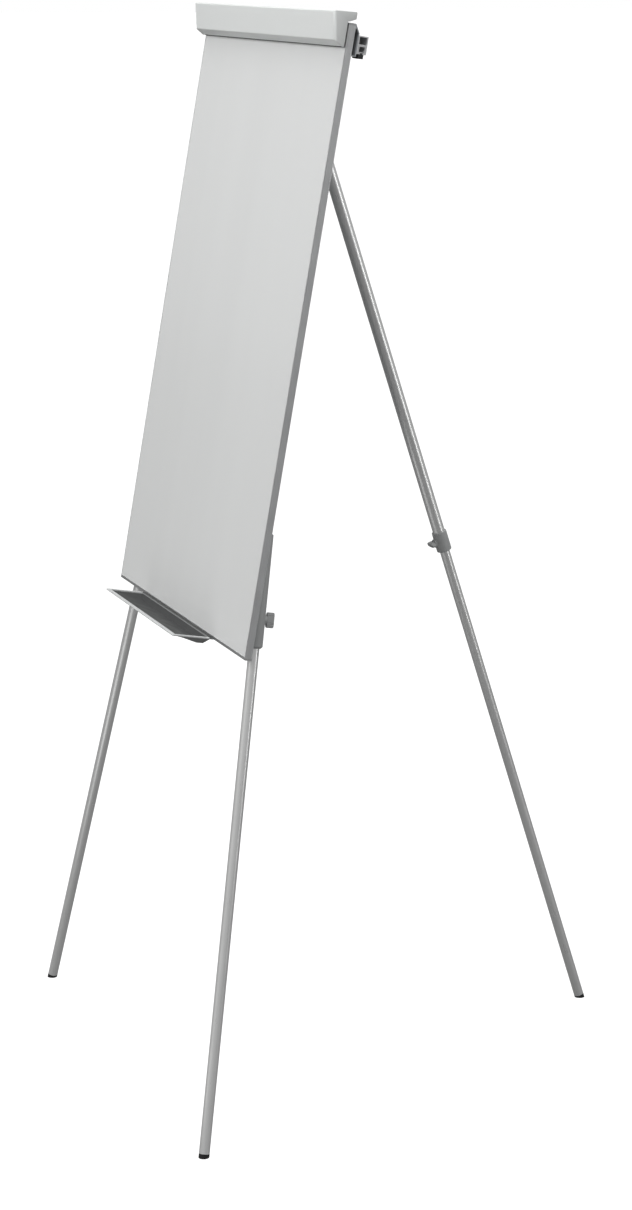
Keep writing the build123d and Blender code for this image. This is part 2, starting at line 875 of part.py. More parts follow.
beam_up = pivot_up + beam_rise
beam_half = max(abs(x) for x, up in beam_screw_spots) + beam_overhang
bracket_screw_offsets = (-bracket_screw_spread / 2, bracket_screw_spread / 2)
bracket_screw_spots = [(0, pivot_up + offset) for offset in bracket_screw_offsets]

with BuildPart() as head_beam:
    with BuildSketch(behind(beam_back)):
        with Locations((0, beam_up)):
            RectangleRounded(2 * beam_half, beam_height, beam_corner_radius)
        with Locations(beam_screw_spots):
            Circle(beam_screw_radius, mode=Mode.SUBTRACT)
        with Locations(bracket_screw_spots):
            Circle(bracket_screw_radius, mode=Mode.SUBTRACT)
    extrude(amount=beam_thickness)
save(head_beam, "head_beam")

with BuildPart() as beam_screws:
    with BuildSketch(behind(beam_back)):
        with Locations(beam_screw_spots):
            Circle(beam_screw_radius)
    extrude(amount=beam_screw_length)
    with BuildSketch(behind(beam_back)):
        with Locations(beam_screw_spots):
            RegularPolygon(beam_screw_head_radius, 6)
    extrude(amount=-beam_screw_head_height)
save(beam_screws, "beam_screws")


# Rear leg hinge

pivot_spot = (pivot_depth, pivot_up)
ear_outer = bracket_gap / 2 + bracket_wall

with BuildPart() as pivot_bracket:
    with BuildSketch(behind(bracket_face)):
        with Locations((0, pivot_up)):
            Rectangle(2 * ear_outer, bracket_height)
        with Locations(bracket_screw_spots):
            Circle(bracket_screw_radius, mode=Mode.SUBTRACT)
    extrude(amount=bracket_wall)
    for side in (-1, 1):
        with BuildSketch(board_section(side * bracket_gap / 2)):
            with Locations((beam_back, pivot_up)):
                Rectangle(pivot_depth - beam_back, bracket_height, align=(Align.MIN, Align.CENTER))
            with Locations(pivot_spot):
                Circle(bracket_ear_radius)
                Circle(pivot_pin_radius, mode=Mode.SUBTRACT)
        extrude(amount=side * bracket_wall)
save(pivot_bracket, "pivot_bracket")

with BuildPart() as bracket_screws:
    with BuildSketch(behind(bracket_face)):
        with Locations(bracket_screw_spots):
            Circle(bracket_screw_radius)
    extrude(amount=bracket_wall + beam_thickness + bracket_screw_tail)
    with BuildSketch(behind(socket_back)):
        with Locations(bracket_screw_spots):
            RegularPolygon(bracket_nut_radius, 6)
            Circle(bracket_screw_radius, mode=Mode.SUBTRACT)
    extrude(amount=bracket_nut_height)
save(bracket_screws, "bracket_screws")

with BuildPart() as pivot_pin:
    with BuildSketch(board_section(-ear_outer)):
        with Locations(pivot_spot):
            Circle(pivot_pin_radius)
    extrude(amount=2 * ear_outer + pivot_tail)
    with BuildSketch(board_section(-ear_outer)):
        with Locations(pivot_spot):
            Circle(pivot_head_radius)
    extrude(amount=-pivot_head_height)
save(pivot_pin, "pivot_pin")

with BuildPart() as pivot_clip:
    with BuildSketch(board_section(ear_outer)):
        with Locations(pivot_spot):
            Circle(pivot_clip_radius)
            Circle(pivot_pin_radius, mode=Mode.SUBTRACT)
    extrude(amount=pivot_clip_thickness)
save(pivot_clip, "pivot_clip")

with BuildPart() as pivot_washers:
    for side in (-1, 1):
        with BuildSketch(board_section(side * bracket_gap / 2)):
            with Locations(pivot_spot):
                Circle(washer_radius)
                Circle(pivot_pin_radius, mode=Mode.SUBTRACT)
        extrude(amount=-side * washer_thickness)
save(pivot_washers, "pivot_washers")

nose_radius = pivot_standoff - rest_gap
with BuildPart() as rear_leg_cap:
    with BuildSketch(rear_plane(0)):
        Rectangle(tongue_width, 2 * nose_radius)
    extrude(amount=cap_shoulder_start)
    with BuildSketch(board_section()):
        with Locations(pivot_spot):
            Circle(nose_radius)
            Rectangle(nose_radius, heel_height, align=(Align.MAX, Align.MIN))
    extrude(amount=tongue_width / 2, both=True)
    with BuildSketch(rear_plane(cap_shoulder_start)):
        Circle(tube_radius)
    extrude(amount=cap_shoulder_length)
    with BuildSketch(rear_plane(cap_shoulder_start + cap_shoulder_length)):
        Circle(tube_bore)
    extrude(amount=cap_plug_length)
    with BuildSketch(board_section()):
        with Locations(pivot_spot):
            Circle(pivot_pin_radius + running_fit)
    extrude(amount=tongue_width / 2, both=True, mode=Mode.SUBTRACT)
save(rear_leg_cap, "rear_leg_cap")


# Upper tubes

front_tube_start = sleeve_start + sleeve_lower_bore_length
front_tube_end = socket_top - socket_length + socket_bore_length
rear_tube_start = cap_shoulder_start + cap_shoulder_length
rear_tube_end = collar_centre - collar_tube_end


def tube(start_plane, length, radius, bore):
    """A round tube standing on a plane."""
    with BuildPart() as body:
        with BuildSketch(start_plane):
            Circle(radius)
            Circle(bore, mode=Mode.SUBTRACT)
        extrude(amount=length)
    return body


front_tube_length = front_tube_end - front_tube_start
rear_tube_length = rear_tube_end - rear_tube_start
for name, side in sides:
    upper = tube(leg_plane(side, front_tube_start), front_tube_length, tube_radius, tube_bore)
    save(upper, f"front_leg_tube_{name}")
save(tube(rear_plane(rear_tube_start), rear_tube_length, tube_radius, tube_bore), "rear_leg_tube")


# Sleeves, collar and their threaded inserts

wing_axis_along = sleeve_start + wing_along
insert_start = lower_radius + 2 * rest_gap
sleeve_boss_top = sleeve_radius + wing_boss_height
collar_boss_top = collar_radius + collar_boss_height


def leg_sleeve(side):
    """The long sleeve that holds a front leg against the board's bottom corner."""
    seat = leg_depth - back_face
    with BuildPart() as sleeve:
        with BuildSketch(leg_plane(side, sleeve_start)):
            Circle(sleeve_radius)
        extrude(amount=sleeve_length)
        chamfer(sleeve.edges().filter_by(GeomType.CIRCLE).sort_by(up_axis)[0], length=sleeve_chamfer)
        shoulder = sleeve.edges().filter_by(GeomType.CIRCLE).sort_by(up_axis)[-1]
        fillet(shoulder, radius=sleeve_shoulder_radius)
        with BuildSketch(leg_plane(side, sleeve_start + sleeve_chamfer)):
            with Locations((-seat, 0)):
                Rectangle(seat, 2 * sleeve_half_width, align=(Align.MIN, Align.CENTER))
        extrude(amount=sleeve_length - sleeve_chamfer - sleeve_shoulder_radius)
        with BuildSketch(leg_plane(side, sleeve_flange_start)):
            with Locations((-seat, 0)):
                Rectangle(flange_thickness, sleeve_flange_width, align=(Align.MIN, Align.CENTER))
        extrude(amount=sleeve_flange_length)
        with BuildSketch(leg_back_plane(side, wing_axis_along, 0)):
            Circle(wing_boss_radius)
        extrude(amount=sleeve_boss_top)
        with BuildSketch(leg_plane(side, sleeve_start)):
            Circle(running_bore)
        extrude(amount=sleeve_lower_bore_length, mode=Mode.SUBTRACT)
        with BuildSketch(leg_plane(side, front_tube_start)):
            Circle(tube_radius)
        extrude(amount=sleeve_length - sleeve_lower_bore_length, mode=Mode.SUBTRACT)
        with BuildSketch(leg_back_plane(side, wing_axis_along, 0)):
            Circle(insert_radius)
        extrude(amount=sleeve_boss_top, mode=Mode.SUBTRACT)
        with BuildSketch(behind(back_face + flange_thickness)):
            with Locations(sleeve_screw_spots):
                Circle(board_screw_radius)
        extrude(amount=flange_thickness, mode=Mode.SUBTRACT)
    return sleeve


for name, side in sides:
    save(leg_sleeve(side), f"leg_sleeve_{name}")

with BuildPart() as board_screws:
    with BuildSketch(behind(back_face - board_screw_reach)):
        with Locations(sleeve_screw_spots + socket_screw_spots):
            Circle(board_screw_radius)
    extrude(amount=-(board_screw_reach + flange_thickness))
    with BuildSketch(behind(back_face + flange_thickness)):
        with Locations(sleeve_screw_spots + socket_screw_spots):
            Circle(screw_head_radius)
    extrude(amount=-screw_head_height)
save(board_screws, "board_screws")

with BuildPart() as rear_leg_collar:
    with BuildSketch(rear_plane(collar_centre - collar_length / 2)):
        Circle(collar_radius)
    extrude(amount=collar_length)
    fillet(rear_leg_collar.edges().filter_by(GeomType.CIRCLE), radius=collar_edge_radius)
    with BuildSketch(rear_front_plane(collar_centre, 0)):
        Circle(wing_boss_radius)
    extrude(amount=collar_boss_top)
    with BuildSketch(rear_plane(collar_centre - collar_length / 2)):
        Circle(tube_radius)
    extrude(amount=collar_length / 2 - collar_tube_end, mode=Mode.SUBTRACT)
    with BuildSketch(rear_plane(rear_tube_end)):
        Circle(running_bore)
    extrude(amount=collar_length, mode=Mode.SUBTRACT)
    with BuildSketch(rear_front_plane(collar_centre, 0)):
        Circle(insert_radius)
    extrude(amount=collar_boss_top, mode=Mode.SUBTRACT)
save(rear_leg_collar, "rear_leg_collar")

with BuildPart() as sleeve_inserts:
    for name, side in sides:
        with BuildSketch(leg_back_plane(side, wing_axis_along, insert_start)):
            Circle(insert_radius)
            Circle(wing_screw_radius + running_fit, mode=Mode.SUBTRACT)
        extrude(amount=sleeve_boss_top - insert_start)
save(sleeve_inserts, "sleeve_inserts")

with BuildPart() as collar_insert:
    with BuildSketch(rear_front_plane(collar_centre, insert_start)):
        Circle(insert_radius)
        Circle(wing_screw_radius + running_fit, mode=Mode.SUBTRACT)
    extrude(amount=collar_boss_top - insert_start)
save(collar_insert, "collar_insert")


# Wing screws


def wing_screw(base_plane, boss_top, height, turned):
    """A wing screw along a plane's normal, whose wing is this high and lies at this turn about it."""
    tip = lower_radius + rest_gap
    head_start = boss_top + rest_gap
    with BuildPart() as screw:
        with BuildSketch(base_plane.offset(tip)):
            Circle(wing_screw_radius)
        extrude(amount=head_start - tip)
        with BuildSketch(base_plane.offset(head_start)):
            Circle(wing_hub_radius)
        extrude(amount=wing_hub_height)
        with BuildSketch(base_plane.offset(head_start + wing_hub_height / 2)):
            with Locations(Location((0, 0, 0), (0, 0, turned))):
                RectangleRounded(wing_span, wing_thickness, wing_corner_radius)
        extrude(amount=height - wing_hub_height / 2)
        rim = screw.faces().sort_by(Axis(base_plane.origin, base_plane.z_dir))[-1].edges()
        fillet(rim, radius=wing_edge_radius)
    return screw


for name, side in sides:
    front_screw = wing_screw(leg_back_plane(side, wing_axis_along, 0), sleeve_boss_top, wing_height, 0)
    save(front_screw, f"wing_screw_{name}")
rear_screw = wing_screw(rear_front_plane(collar_centre, 0), collar_boss_top, rear_wing_height, 90)
save(rear_screw, "wing_screw_rear")


# Lower legs, from the floor up: tube, the guide on its inner end and the rubber foot


def lower_leg(foot_plane, length):
    """The telescoping tube of a leg whose axis meets the floor at the plane's origin."""
    return tube(foot_plane.offset(foot_height), length - foot_height, lower_radius, lower_bore)


def lower_bush(foot_plane, length):
    """The plastic guide on the inner end of a lower tube."""
    with BuildPart() as bush:
        with BuildSketch(foot_plane.offset(length - bush_stem_length)):
            Circle(lower_bore)
        extrude(amount=bush_stem_length)
        with BuildSketch(foot_plane.offset(length)):
            Circle(tube_bore - running_fit)
        extrude(amount=bush_head_length)
    return bush


def rubber_foot(foot_plane):
    """The rubber tip of a leg, cut level where it stands on the floor."""
    with BuildPart() as foot:
        with BuildSketch(foot_plane.offset(-foot_height)):
            Circle(lower_radius)
        extrude(amount=2 * foot_height)
        with BuildSketch(foot_plane.offset(foot_height)):
            Circle(lower_bore)
        extrude(amount=foot_stem_length)
        split(bisect_by=Plane.XY, keep=Keep.TOP)
    return foot


front_foot_along = front_foot_up / cos(splay)
rear_foot_along = pivot_height / cos(rake)
rear_foot_base = rear_plane(rear_foot_along)
rear_foot_plane = Plane(rear_foot_base.origin, x_dir=across, z_dir=-rear_down)
lower_legs = [
    (name, leg_plane(side, front_foot_along), front_tube_start + leg_overlap - front_foot_along)
    for name, side in sides
]
lower_legs.append(("rear", rear_foot_plane, rear_foot_along - rear_tube_end + leg_overlap))

for name, foot_plane, length in lower_legs:
    save(lower_leg(foot_plane, length), f"lower_leg_{name}")
    save(lower_bush(foot_plane, length), f"lower_bush_{name}")
    save(rubber_foot(foot_plane), f"foot_{name}")


# Pen tray

tray_half = tray_length / 2
rim_top = tray_rim_rise
rim_foot = tray_rim_rise - tray_wall


def tray_dish(inset, top):
    """The dish of the tray. inset draws its skin inwards and top is the height that it is open to."""
    floor_up = -tray_floor_drop - tray_wall + inset
    shelf_up = -tray_shelf_drop - tray_wall + inset
    mouth_front = tray_reach - tray_rim_width + tray_wall - inset
    mouth_back = tray_back_gap + tray_rim_width - tray_wall + inset
    mouth_half = tray_half - tray_rim_width + tray_wall - inset
    with BuildPart() as dish:
        with BuildSketch(board_section()):
            with BuildLine():
                Polyline(
                    (-mouth_front, top),
                    (-mouth_front, rim_foot),
                    (-tray_shelf_reach, shelf_up),
                    (-tray_floor_front, floor_up),
                    (-tray_floor_back, floor_up),
                    (-mouth_back, rim_foot),
                    (-mouth_back, top),
                    close=True,
                )
            make_face()
        extrude(amount=tray_half, both=True)
        with BuildSketch(face_plane):
            with BuildLine():
                Polyline(
                    (-mouth_half, top),
                    (-mouth_half, rim_foot),
                    (-mouth_half + tray_end_slope, floor_up),
                    (mouth_half - tray_end_slope, floor_up),
                    (mouth_half, rim_foot),
                    (mouth_half, top),
                    close=True,
                )
            make_face()
        extrude(amount=tray_reach, mode=Mode.INTERSECT)
    return dish


tray_skin = tray_dish(0, rim_top)
tray_hollow = tray_dish(tray_wall, rim_top)
with BuildPart() as tray:
    with BuildSketch(level(rim_foot)):
        with Locations((0, -(tray_reach + tray_back_gap) / 2)):
            RectangleRounded(tray_length, tray_reach - tray_back_gap, tray_corner_radius)
    extrude(amount=tray_wall)
    add(tray_skin.part)
    with BuildSketch(level(-tray_wall)):
        with Locations((0, tray_hook_depth)):
            Rectangle(
                tray_hook_width,
                tray_hook_depth + tray_back_gap + tray_rim_width,
                align=(Align.CENTER, Align.MAX),
            )
        with Locations(tray_screw_spots):
            Circle(tray_screw_radius, mode=Mode.SUBTRACT)
    extrude(amount=tray_wall)
    add(tray_hollow.part, mode=Mode.SUBTRACT)
save(tray, "tray")

with BuildPart() as tray_screws:
    with BuildSketch(level(-tray_wall)):
        with Locations(tray_screw_spots):
            Circle(tray_screw_radius)
    extrude(amount=tray_wall + tray_screw_reach)
    with BuildSketch(level(-tray_wall)):
        with Locations(tray_screw_spots):
            Circle(tray_screw_head_radius)
    extrude(amount=-tray_screw_head_height)
save(tray_screws, "tray_screws")
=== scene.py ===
"""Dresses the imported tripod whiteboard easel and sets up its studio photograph.

Every length is in metres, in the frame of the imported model: X across the board to the reader's right,
Y back towards the rear leg, Z up, with the origin on the floor.
"""

import json
import logging
from abc import ABC, abstractmethod
from dataclasses import dataclass, field
from enum import Enum
from math import copysign, cos, pi, radians, sin, tau
from typing import ClassVar, Sequence

import bmesh
import bpy
from mathutils import Euler, Matrix, Vector


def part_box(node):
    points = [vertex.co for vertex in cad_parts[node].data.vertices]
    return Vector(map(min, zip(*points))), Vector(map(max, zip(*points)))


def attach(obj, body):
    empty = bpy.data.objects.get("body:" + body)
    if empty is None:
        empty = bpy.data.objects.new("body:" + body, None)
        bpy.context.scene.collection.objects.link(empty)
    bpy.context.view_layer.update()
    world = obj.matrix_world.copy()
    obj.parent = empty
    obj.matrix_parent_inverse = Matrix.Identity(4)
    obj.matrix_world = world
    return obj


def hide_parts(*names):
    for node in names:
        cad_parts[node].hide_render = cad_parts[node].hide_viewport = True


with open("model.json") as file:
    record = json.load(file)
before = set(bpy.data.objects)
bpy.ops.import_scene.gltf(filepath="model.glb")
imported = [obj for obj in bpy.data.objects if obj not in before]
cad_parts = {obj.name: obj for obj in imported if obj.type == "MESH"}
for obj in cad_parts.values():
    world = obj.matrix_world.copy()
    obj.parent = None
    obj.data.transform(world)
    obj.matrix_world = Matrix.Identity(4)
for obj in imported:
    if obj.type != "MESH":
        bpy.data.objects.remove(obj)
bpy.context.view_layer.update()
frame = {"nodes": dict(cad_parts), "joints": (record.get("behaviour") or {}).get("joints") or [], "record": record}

logging.basicConfig(level=logging.INFO, format="%(message)s")
log = logging.getLogger("easel")

Colour = tuple[float, float, float]
Socket = bpy.types.NodeSocket
Links = dict[str | int, Socket | object]
Ring = list[bmesh.types.BMVert]
MERGE_DISTANCE = 1e-6
FLAT_ANGLE = radians(0.7)


class Drive(Enum):
    """How a fastener is turned."""

    CROSS = "cross"
    HEX = "hex"


class Side(Enum):
    """A side of the easel, seen by a reader in front of it."""

    LEFT = "left"
    RIGHT = "right"

    @property
    def letter(self) -> str:
        """The letter that this side has in the names of bodies and joints."""
        return self.value[0]


def joint(name: str) -> dict:
    """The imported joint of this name.

    Args:
        name: a joint's name in the record.

    Returns:
        The joint's entry, with its axis and, for a hinge, its place.
    """
    return next(entry for entry in frame["joints"] if entry["name"] == name)


def reach(node: str, direction: Vector) -> tuple[float, float]:
    """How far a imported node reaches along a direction.

    Args:
        node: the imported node.
        direction: a unit vector.

    Returns:
        The least and the greatest distance along it.
    """
    along = [vertex.co.dot(direction) for vertex in frame["nodes"][node].data.vertices]
    return min(along), max(along)


@dataclass(frozen=True)
class BoardAxes:
    """The leaning board's own directions and the place of its writing face along the outward one."""

    across: Vector
    up: Vector
    out: Vector
    face: float

    @classmethod
    def from_frame(cls) -> "BoardAxes":
        """Work out the directions from a wing screw's axis and the writing sheet.

        Returns:
            The board's directions.
        """
        out = -Vector(joint("wing_l_turn")["axis"])
        across = Vector((1.0, 0.0, 0.0))
        up = out.cross(across)
        return cls(across, up, out, reach("writing_sheet", out)[1])

    def turn(self) -> Euler:
        """The turn that brings the board's across, out and up onto X, Y and Z."""
        rows = Matrix((self.across, -self.out, self.up))
        return rows.to_euler()


def axis_turn(direction: Vector) -> Euler:
    """The turn that brings a direction onto Z."""
    return direction.rotation_difference(Vector((0.0, 0.0, 1.0))).to_euler()


def lighter(colour: Colour, factor: float) -> Colour:
    """A colour with each channel multiplied."""
    return tuple(channel * factor for channel in colour)


class Shade:
    """Lays out the nodes of one material."""

    def __init__(self, name: str) -> None:
        """Start a material with a Principled shader and its output.

        Args:
            name: the material's name.
        """
        self.material = bpy.data.materials.new(f"{name}_finish")
        self.material.use_nodes = True
        self.tree = self.material.node_tree
        self.shader = self.tree.nodes["Principled BSDF"]
        self.place = self.add("ShaderNodeTexCoord").outputs["Object"]

    def add(self, kind: str, **settings: object) -> bpy.types.Node:
        """Add a node and set its properties.

        Args:
            kind: the node's type.
            settings: its properties.

        Returns:
            The node.
        """
        node = self.tree.nodes.new(kind)
        for key, value in settings.items():
            setattr(node, key, value)
        return node

    def link(self, source: Socket, target: Socket) -> None:
        """Join two sockets."""
        self.tree.links.new(source, target)

    def turned(self, turn: Euler, stretch: Sequence[float] = (1.0, 1.0, 1.0)) -> Socket:
        """Object coordinates turned, then stretched.

        Args:
            turn: the turn that brings the pattern's own axes onto X, Y and Z.
            stretch: factors along the three turned axes; a small one draws the pattern out.

        Returns:
            The vector socket of the turned coordinates.
        """
        rotate = self.add("ShaderNodeMapping")
        rotate.inputs["Rotation"].default_value = turn
        self.link(self.place, rotate.inputs["Vector"])
        scale = self.add("ShaderNodeMapping")
        scale.inputs["Scale"].default_value = stretch
        self.link(rotate.outputs["Vector"], scale.inputs["Vector"])
        return scale.outputs["Vector"]

    def noise(self, size: float, detail: float = 3.0, vector: Socket | None = None) -> Socket:
        """Soft noise whose patches are about this large.

        Args:
            size: the patch size in metres.
            detail: how many finer layers it has.
            vector: coordinates, where they aren't the object's own.

        Returns:
            The factor socket, from 0 to 1.
        """
        node = self.add("ShaderNodeTexNoise")
        node.inputs["Scale"].default_value = 1.0 / size
        node.inputs["Detail"].default_value = detail
        self.link(vector or self.place, node.inputs["Vector"])
        return node.outputs["Fac"]

    def cells(self, size: float) -> Socket:
        """Distance to the nearest of scattered points, this far apart.

        Args:
            size: the points' mean distance in metres.

        Returns:
            The distance socket.
        """
        node = self.add("ShaderNodeTexVoronoi")
        node.inputs["Scale"].default_value = 1.0 / size
        self.link(self.place, node.inputs["Vector"])
        return node.outputs["Distance"]

    def spread(self, factor: Socket, low: float, high: float, start: float = 0.0, end: float = 1.0) -> Socket:
        """Map a factor from start..end to low..high.

        Args:
            factor: the factor's socket.
            low: the result at start.
            high: the result at end.
            start: the factor's lower end.
            end: the factor's upper end.

        Returns:
            The result socket, kept within low and high.
        """
        node = self.add("ShaderNodeMapRange")
        node.inputs["From Min"].default_value = start
        node.inputs["From Max"].default_value = end
        node.inputs["To Min"].default_value = low
        node.inputs["To Max"].default_value = high
        self.link(factor, node.inputs["Value"])
        return node.outputs["Result"]

    def blend(self, factor: Socket, first: Colour | Socket, second: Colour | Socket) -> Socket:
        """Mix two colours by a factor.

        Args:
            factor: the factor's socket.
            first: the colour at 0, or its socket.
            second: the colour at 1, or its socket.

        Returns:
            The mixed colour's socket.
        """
        node = self.add("ShaderNodeMix", data_type="RGBA")
        self.link(factor, node.inputs["Factor"])
        for name, value in (("A", first), ("B", second)):
            entry = next(s for s in node.inputs if s.name == name and s.type == "RGBA")
            if isinstance(value, bpy.types.NodeSocket):
                self.link(value, entry)
            else:
                entry.default_value = (*value, 1.0)
        return next(s for s in node.outputs if s.type == "RGBA")

    def varied(self, factor: Socket, colour: Colour, share: float) -> Socket:
        """A colour that runs from darker to lighter by a share, as a factor goes from 0 to 1."""
        return self.blend(factor, lighter(colour, 1 - share), lighter(colour, 1 + share))

    def relief(self, height: Socket, depth: float, strength: float = 1.0) -> Socket:
        """A bump of this depth.

        Args:
            height: the pattern's socket.
            depth: how far it rises, in metres.
            strength: how much of it shows.

        Returns:
            The normal socket.
        """
        node = self.add("ShaderNodeBump")
        node.inputs["Distance"].default_value = depth
        node.inputs["Strength"].default_value = strength
        self.link(height, node.inputs["Height"])
        return node.outputs["Normal"]

    def product(self, first: Socket, second: Socket) -> Socket:
        """Two factors multiplied.

        Args:
            first: one socket.
            second: the other socket.

        Returns:
            The product's socket.
        """
        node = self.add("ShaderNodeMath", operation="MULTIPLY")
        self.link(first, node.inputs[0])
        self.link(second, node.inputs[1])
        return node.outputs[0]

    def finish(
        self, colour: Socket, roughness: Socket, normal: Socket, **constants: float
    ) -> bpy.types.Material:
        """Join the results to the shader and set its constant values.

        Args:
            colour: the base colour.
            roughness: the roughness.
            normal: the bumped normal.
            constants: values of the shader's other sockets, with underscores for blanks.

        Returns:
            The material.
        """
        self.link(colour, self.shader.inputs["Base Color"])
        self.link(roughness, self.shader.inputs["Roughness"])
        self.link(normal, self.shader.inputs["Normal"])
        for key, value in constants.items():
            self.shader.inputs[key.replace("_", " ")].default_value = value
        return self.material


@dataclass(frozen=True)
class Finish(ABC):
    """A surface finish that can dress any object."""

    name: str
    colour: Colour
    roughness: float
    made: ClassVar[dict[str, bpy.types.Material]] = {}

    @abstractmethod
    def material(self) -> bpy.types.Material:
        """Build the material."""

    def ready(self) -> bpy.types.Material:
        """The material, built when it is first asked for.

        Returns:
            The material, the same one each time.
        """
        if self.name not in self.made:
            self.made[self.name] = self.material()
        return self.made[self.name]

    def dress(self, *objects: bpy.types.Object) -> None:
        """Give this finish to whole objects.

        Args:
            objects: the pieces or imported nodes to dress.
        """
        for item in objects:
            item.data.materials.clear()
            item.data.materials.append(self.ready())


@dataclass(frozen=True)
class Enamel(Finish):
    """Glossy baked enamel with a faint haze from wiping."""

    board: BoardAxes = field(default_factory=BoardAxes.from_frame)
    peel_size: float = 0.0035
    peel_depth: float = 0.000012
    streak_width: float = 0.09
    streak_stretch: tuple[float, float, float] = (1.0, 1.0, 0.07)
    streak_contrast: float = 0.025

    def material(self) -> bpy.types.Material:
        """Build the enamel.

        Returns:
            The material.
        """
        shade = Shade(self.name)
        streaks = shade.noise(self.streak_width, 2.0, shade.turned(self.board.turn(), self.streak_stretch))
        colour = shade.varied(streaks, self.colour, self.streak_contrast)
        roughness = shade.spread(streaks, self.roughness * 0.9, self.roughness * 1.15, 0.1, 0.9)
        peel = shade.relief(shade.noise(self.peel_size, 2.0), self.peel_depth)
        return shade.finish(colour, roughness, peel, Coat_Weight=0.35, Coat_Roughness=0.12)


@dataclass(frozen=True)
class MouldedPlastic(Finish):
    """Injection-moulded plastic with a spark-eroded grain."""

    grain_size: float = 0.0007
    grain_depth: float = 0.00003
    mottle: float = 0.05
    handling_size: float = 0.03
    sheen: float = 0.5

    def material(self) -> bpy.types.Material:
        """Build the plastic."""
        shade = Shade(self.name)
        return self.complete(shade, self.body_colour(shade))

    def body_colour(self, shade: Shade) -> Socket:
        """The plastic's colour with a slight mottle."""
        return shade.varied(shade.noise(self.handling_size, 4.0), self.colour, self.mottle)

    def complete(self, shade: Shade, colour: Socket) -> bpy.types.Material:
        """Add the grain, and the polish that hands leave.

        Args:
            shade: the material being laid out.
            colour: the plastic's colour.

        Returns:
            The material.
        """
        grain = shade.noise(self.grain_size, 4.0)
        handled = shade.noise(self.handling_size, 3.0)
        roughness = shade.spread(handled, self.roughness * 0.85, self.roughness * 1.15, 0.3, 0.7)
        normal = shade.relief(grain, self.grain_depth, 0.7)
        return shade.finish(colour, roughness, normal, Specular_IOR_Level=self.sheen)


@dataclass(frozen=True)
class TrayPlastic(MouldedPlastic):
    """Tray plastic with a lighter outside, a dark dish whose colour is partly a darker plastic and partly painted
    shade, and a pale rim whose colour is partly a paler plastic and partly a painted highlight where light catches
    it; the strip beside the board keeps the outside colour as painted shade.
    """

    # dish colour: partly darker plastic, partly painted shade; rim colour: partly paler plastic, partly a painted
    # highlight
    dish_colour: Colour = (0.065, 0.067, 0.067)
    rim_colour: Colour = (0.6, 0.61, 0.61)
    dish_mark: ClassVar[str] = "dish"
    board: BoardAxes = field(default_factory=BoardAxes.from_frame)
    rim_foot: float = 0.0
    # how far out from the writing face the rim keeps the outside colour, as painted shade beside the board
    dark_back: float = 0.009
    fade: float = 0.0004

    def body_colour(self, shade: Shade) -> Socket:
        """Painted highlight on the pale rim above the rim's foot, apart from the strip beside the board, which
        keeps the outside colour as painted shade; dark in the dish, partly as painted shade.

        Args:
            shade: the material being laid out.

        Returns:
            The colour socket.
        """
        # faces marked as dish take the dark colour, which is partly painted shade
        dish = shade.add("ShaderNodeAttribute", attribute_name=self.dish_mark)
        outside = MouldedPlastic.body_colour(self, shade)
        body = shade.blend(dish.outputs["Fac"], outside, self.dish_colour)
        # painted highlight on the rim, with painted shade left on the strip beside the board
        high = self.beyond(shade, self.board.up, self.rim_foot)
        forward = self.beyond(shade, self.board.out, self.board.face + self.dark_back)
        return shade.blend(shade.product(high, forward), body, self.rim_colour)

    def beyond(self, shade: Shade, direction: Vector, distance: float) -> Socket:
        """A factor that is 1 past a distance along a direction, and 0 before it.

        Args:
            shade: the material being laid out.
            direction: a unit vector.
            distance: where the change lies along it.

        Returns:
            The factor socket.
        """
        along = shade.add("ShaderNodeVectorMath", operation="DOT_PRODUCT")
        along.inputs[1].default_value = direction
        shade.link(shade.place, along.inputs[0])
        return shade.spread(along.outputs["Value"], 0.0, 1.0, distance - self.fade, distance + self.fade)


@dataclass(frozen=True)
class DrawnMetal(Finish):
    """Metal drawn or rolled along one direction, with fine lines in it."""

    direction: Vector = field(default_factory=lambda: Vector((0.0, 0.0, 1.0)))
    line_size: float = 0.0006
    line_stretch: float = 0.01
    line_depth: float = 0.000006
    broad_share: float = 12.0
    streak: float = 0.05
    smudge_size: float = 0.05
    metallic: float = 1.0

    def material(self) -> bpy.types.Material:
        """Build the metal.

        Returns:
            The material.
        """
        shade = Shade(self.name)
        along = shade.turned(axis_turn(self.direction), (1.0, 1.0, self.line_stretch))
        lines = shade.noise(self.line_size, 3.0, along)
        broad = shade.noise(self.line_size * self.broad_share, 2.0, along)
        colour = shade.varied(broad, self.colour, self.streak)
        worn = shade.product(lines, shade.noise(self.smudge_size, 4.0))
        roughness = shade.spread(worn, self.roughness * 0.85, self.roughness * 1.2, 0.05, 0.5)
        normal = shade.relief(lines, self.line_depth, 0.8)
        return shade.finish(colour, roughness, normal, Metallic=self.metallic)


@dataclass(frozen=True)
class PowderCoat(Finish):
    """Powder-coated sheet with a fine orange peel."""

    peel_size: float = 0.0016
    peel_depth: float = 0.00004
    cloud_share: float = 40.0

    def material(self) -> bpy.types.Material:
        """Build the coat.

        Returns:
            The material.
        """
        shade = Shade(self.name)
        peel = shade.noise(self.peel_size, 3.0)
        cloud = shade.noise(self.peel_size * self.cloud_share, 3.0)
        colour = shade.blend(cloud, lighter(self.colour, 0.94), lighter(self.colour, 1.05))
        roughness = shade.spread(peel, self.roughness * 0.9, self.roughness * 1.1, 0.3, 0.7)
        return shade.finish(colour, roughness, shade.relief(peel, self.peel_depth), Specular_IOR_Level=0.5)


